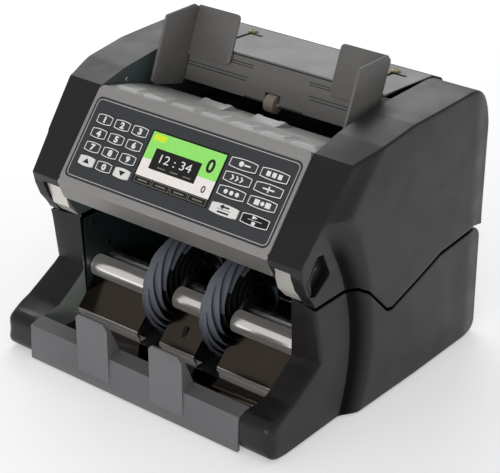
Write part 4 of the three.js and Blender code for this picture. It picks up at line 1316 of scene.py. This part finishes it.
# ---------------------------------------------------------------- inside
def inner_parts():
    hopper()
    stacker()
    for side, word in ((-1, "left"), (1, "right")):
        for i, (y, z) in enumerate(((72, 88), (88, 64), (112, 40), (70, 30))):
            seat = (side * (POCKET_HALF + 0.2), y, z)
            screw_head(f"chassis_screw_{word}_{i + 1}", seat, (-side, 0, 0), 2.2, "base", "black")
    half = POCKET_HALF - 5
    housing = [(62, 126), (74, 112), (88, 106), (104, 103.5), (148, 100), (188, 100), (232, 112), (232, 150),
               (186, 156), (152, 150), (112, 152), (88, 168), (76, 160)]
    block = prism("note_path_housing", filleted(housing, 3), -half, half, "x", 1.0)
    finish_piece(block, "upper", "black")
    baffle = prism("rear_baffle", box_outline(183.2, 12, 184.6, 88), -half, half, "x", 0.3)
    finish_piece(baffle, "base", "black")
    board = prism("control_board", box_outline(-36, 190, 92, 238), 16, 17.6, "z", 0.2)
    finish_piece(board, "base", "board")
    chips = []
    for i in range(5):
        chips.append(prism("chip", box_outline(-26 + 24 * i, 200, -12 + 24 * i, 214), 17.6, 20, "z", 0.3))
    finish_piece(joined("board_chips", chips), "base", "black")


# ---------------------------------------------------------------- everything else
FINISHES = {  # start of a node's name: edge radius and material
    "base_plate": (0.2, "steel"),
    "chassis_plate": (0.2, "dark_green"),
    "cheek_bracket": (0.5, "bracket"),
    "drive_belt": (0.3, "rubber"),
    "drive_motor": (0.8, "steel"),
    "foot": (0.8, "rubber"),
    "hinge_rod": (0.4, "steel"),
    "lower_rear_cover": (0.4, "shell"),
    "main_pulley": (0.3, "black"),
    "main_roller": (0.6, "rubber"),
    "mains_inlet": (0.3, "black"),
    "motor_pulley": (0.3, "black"),
    "power_switch": (0.4, "black"),
    "stacker_pulley": (0.3, "black"),
    "upper_rear_cover": (0.4, "shell"),
}


def other_pieces():
    for start, (width, material) in FINISHES.items():
        for node in sorted(frame["nodes"]):
            if node.startswith(start):
                refined(node, width, 2, material)


# ---------------------------------------------------------------- floor, light and camera
def stage_and_light():
    bpy.ops.mesh.primitive_plane_add(size=12, location=(0, 0, 0))
    floor = bpy.context.object
    floor.name = "floor"
    n = Nodes("pale_floor")
    n.set("Base Color", grey(0.9))
    n.set("Emission Color", grey(1))
    n.set("Emission Strength", 0.34)
    n.set("Roughness", 0.9)
    floor.data.materials.append(n.material)

    world = bpy.data.worlds.new("studio")
    world.use_nodes = True
    background = world.node_tree.nodes["Background"]
    background.inputs["Color"].default_value = (0.94, 0.95, 0.96, 1)
    background.inputs["Strength"].default_value = 0.52
    bpy.context.scene.world = world

    def softbox(name, place, target, size, power):
        light = bpy.data.lights.new(name, "AREA")
        light.shape = "RECTANGLE"
        light.size, light.size_y = size
        light.energy = power
        lamp = added(name, light)
        lamp.location = place
        lamp.rotation_euler = (Vector(target) - Vector(place)).to_track_quat("-Z", "Y").to_euler()

    softbox("rear_light", (-1.3, 1.5, 1.5), (0, 0, 0.15), (1.8, 1.5), 18)
    softbox("front_light", (0.5, -1.9, 0.5), (0, 0, 0.1), (1.4, 0.6), 14)


def camera():
    """The view of the photograph."""
    data = bpy.data.cameras.new("camera")
    data.sensor_width = 36
    data.lens = 118.0
    obj = added("camera", data)
    obj.location = (0.6963, -0.8513, 0.6509)
    obj.rotation_euler = (math.radians(62.83), 0, math.radians(38.85))
    bpy.context.scene.camera = obj


camera()
stage_and_light()
upper_covers()
lower_covers()
key_panel()
release_latch()
inner_parts()
other_pieces()
bpy.context.scene.view_settings.view_transform = "Standard"
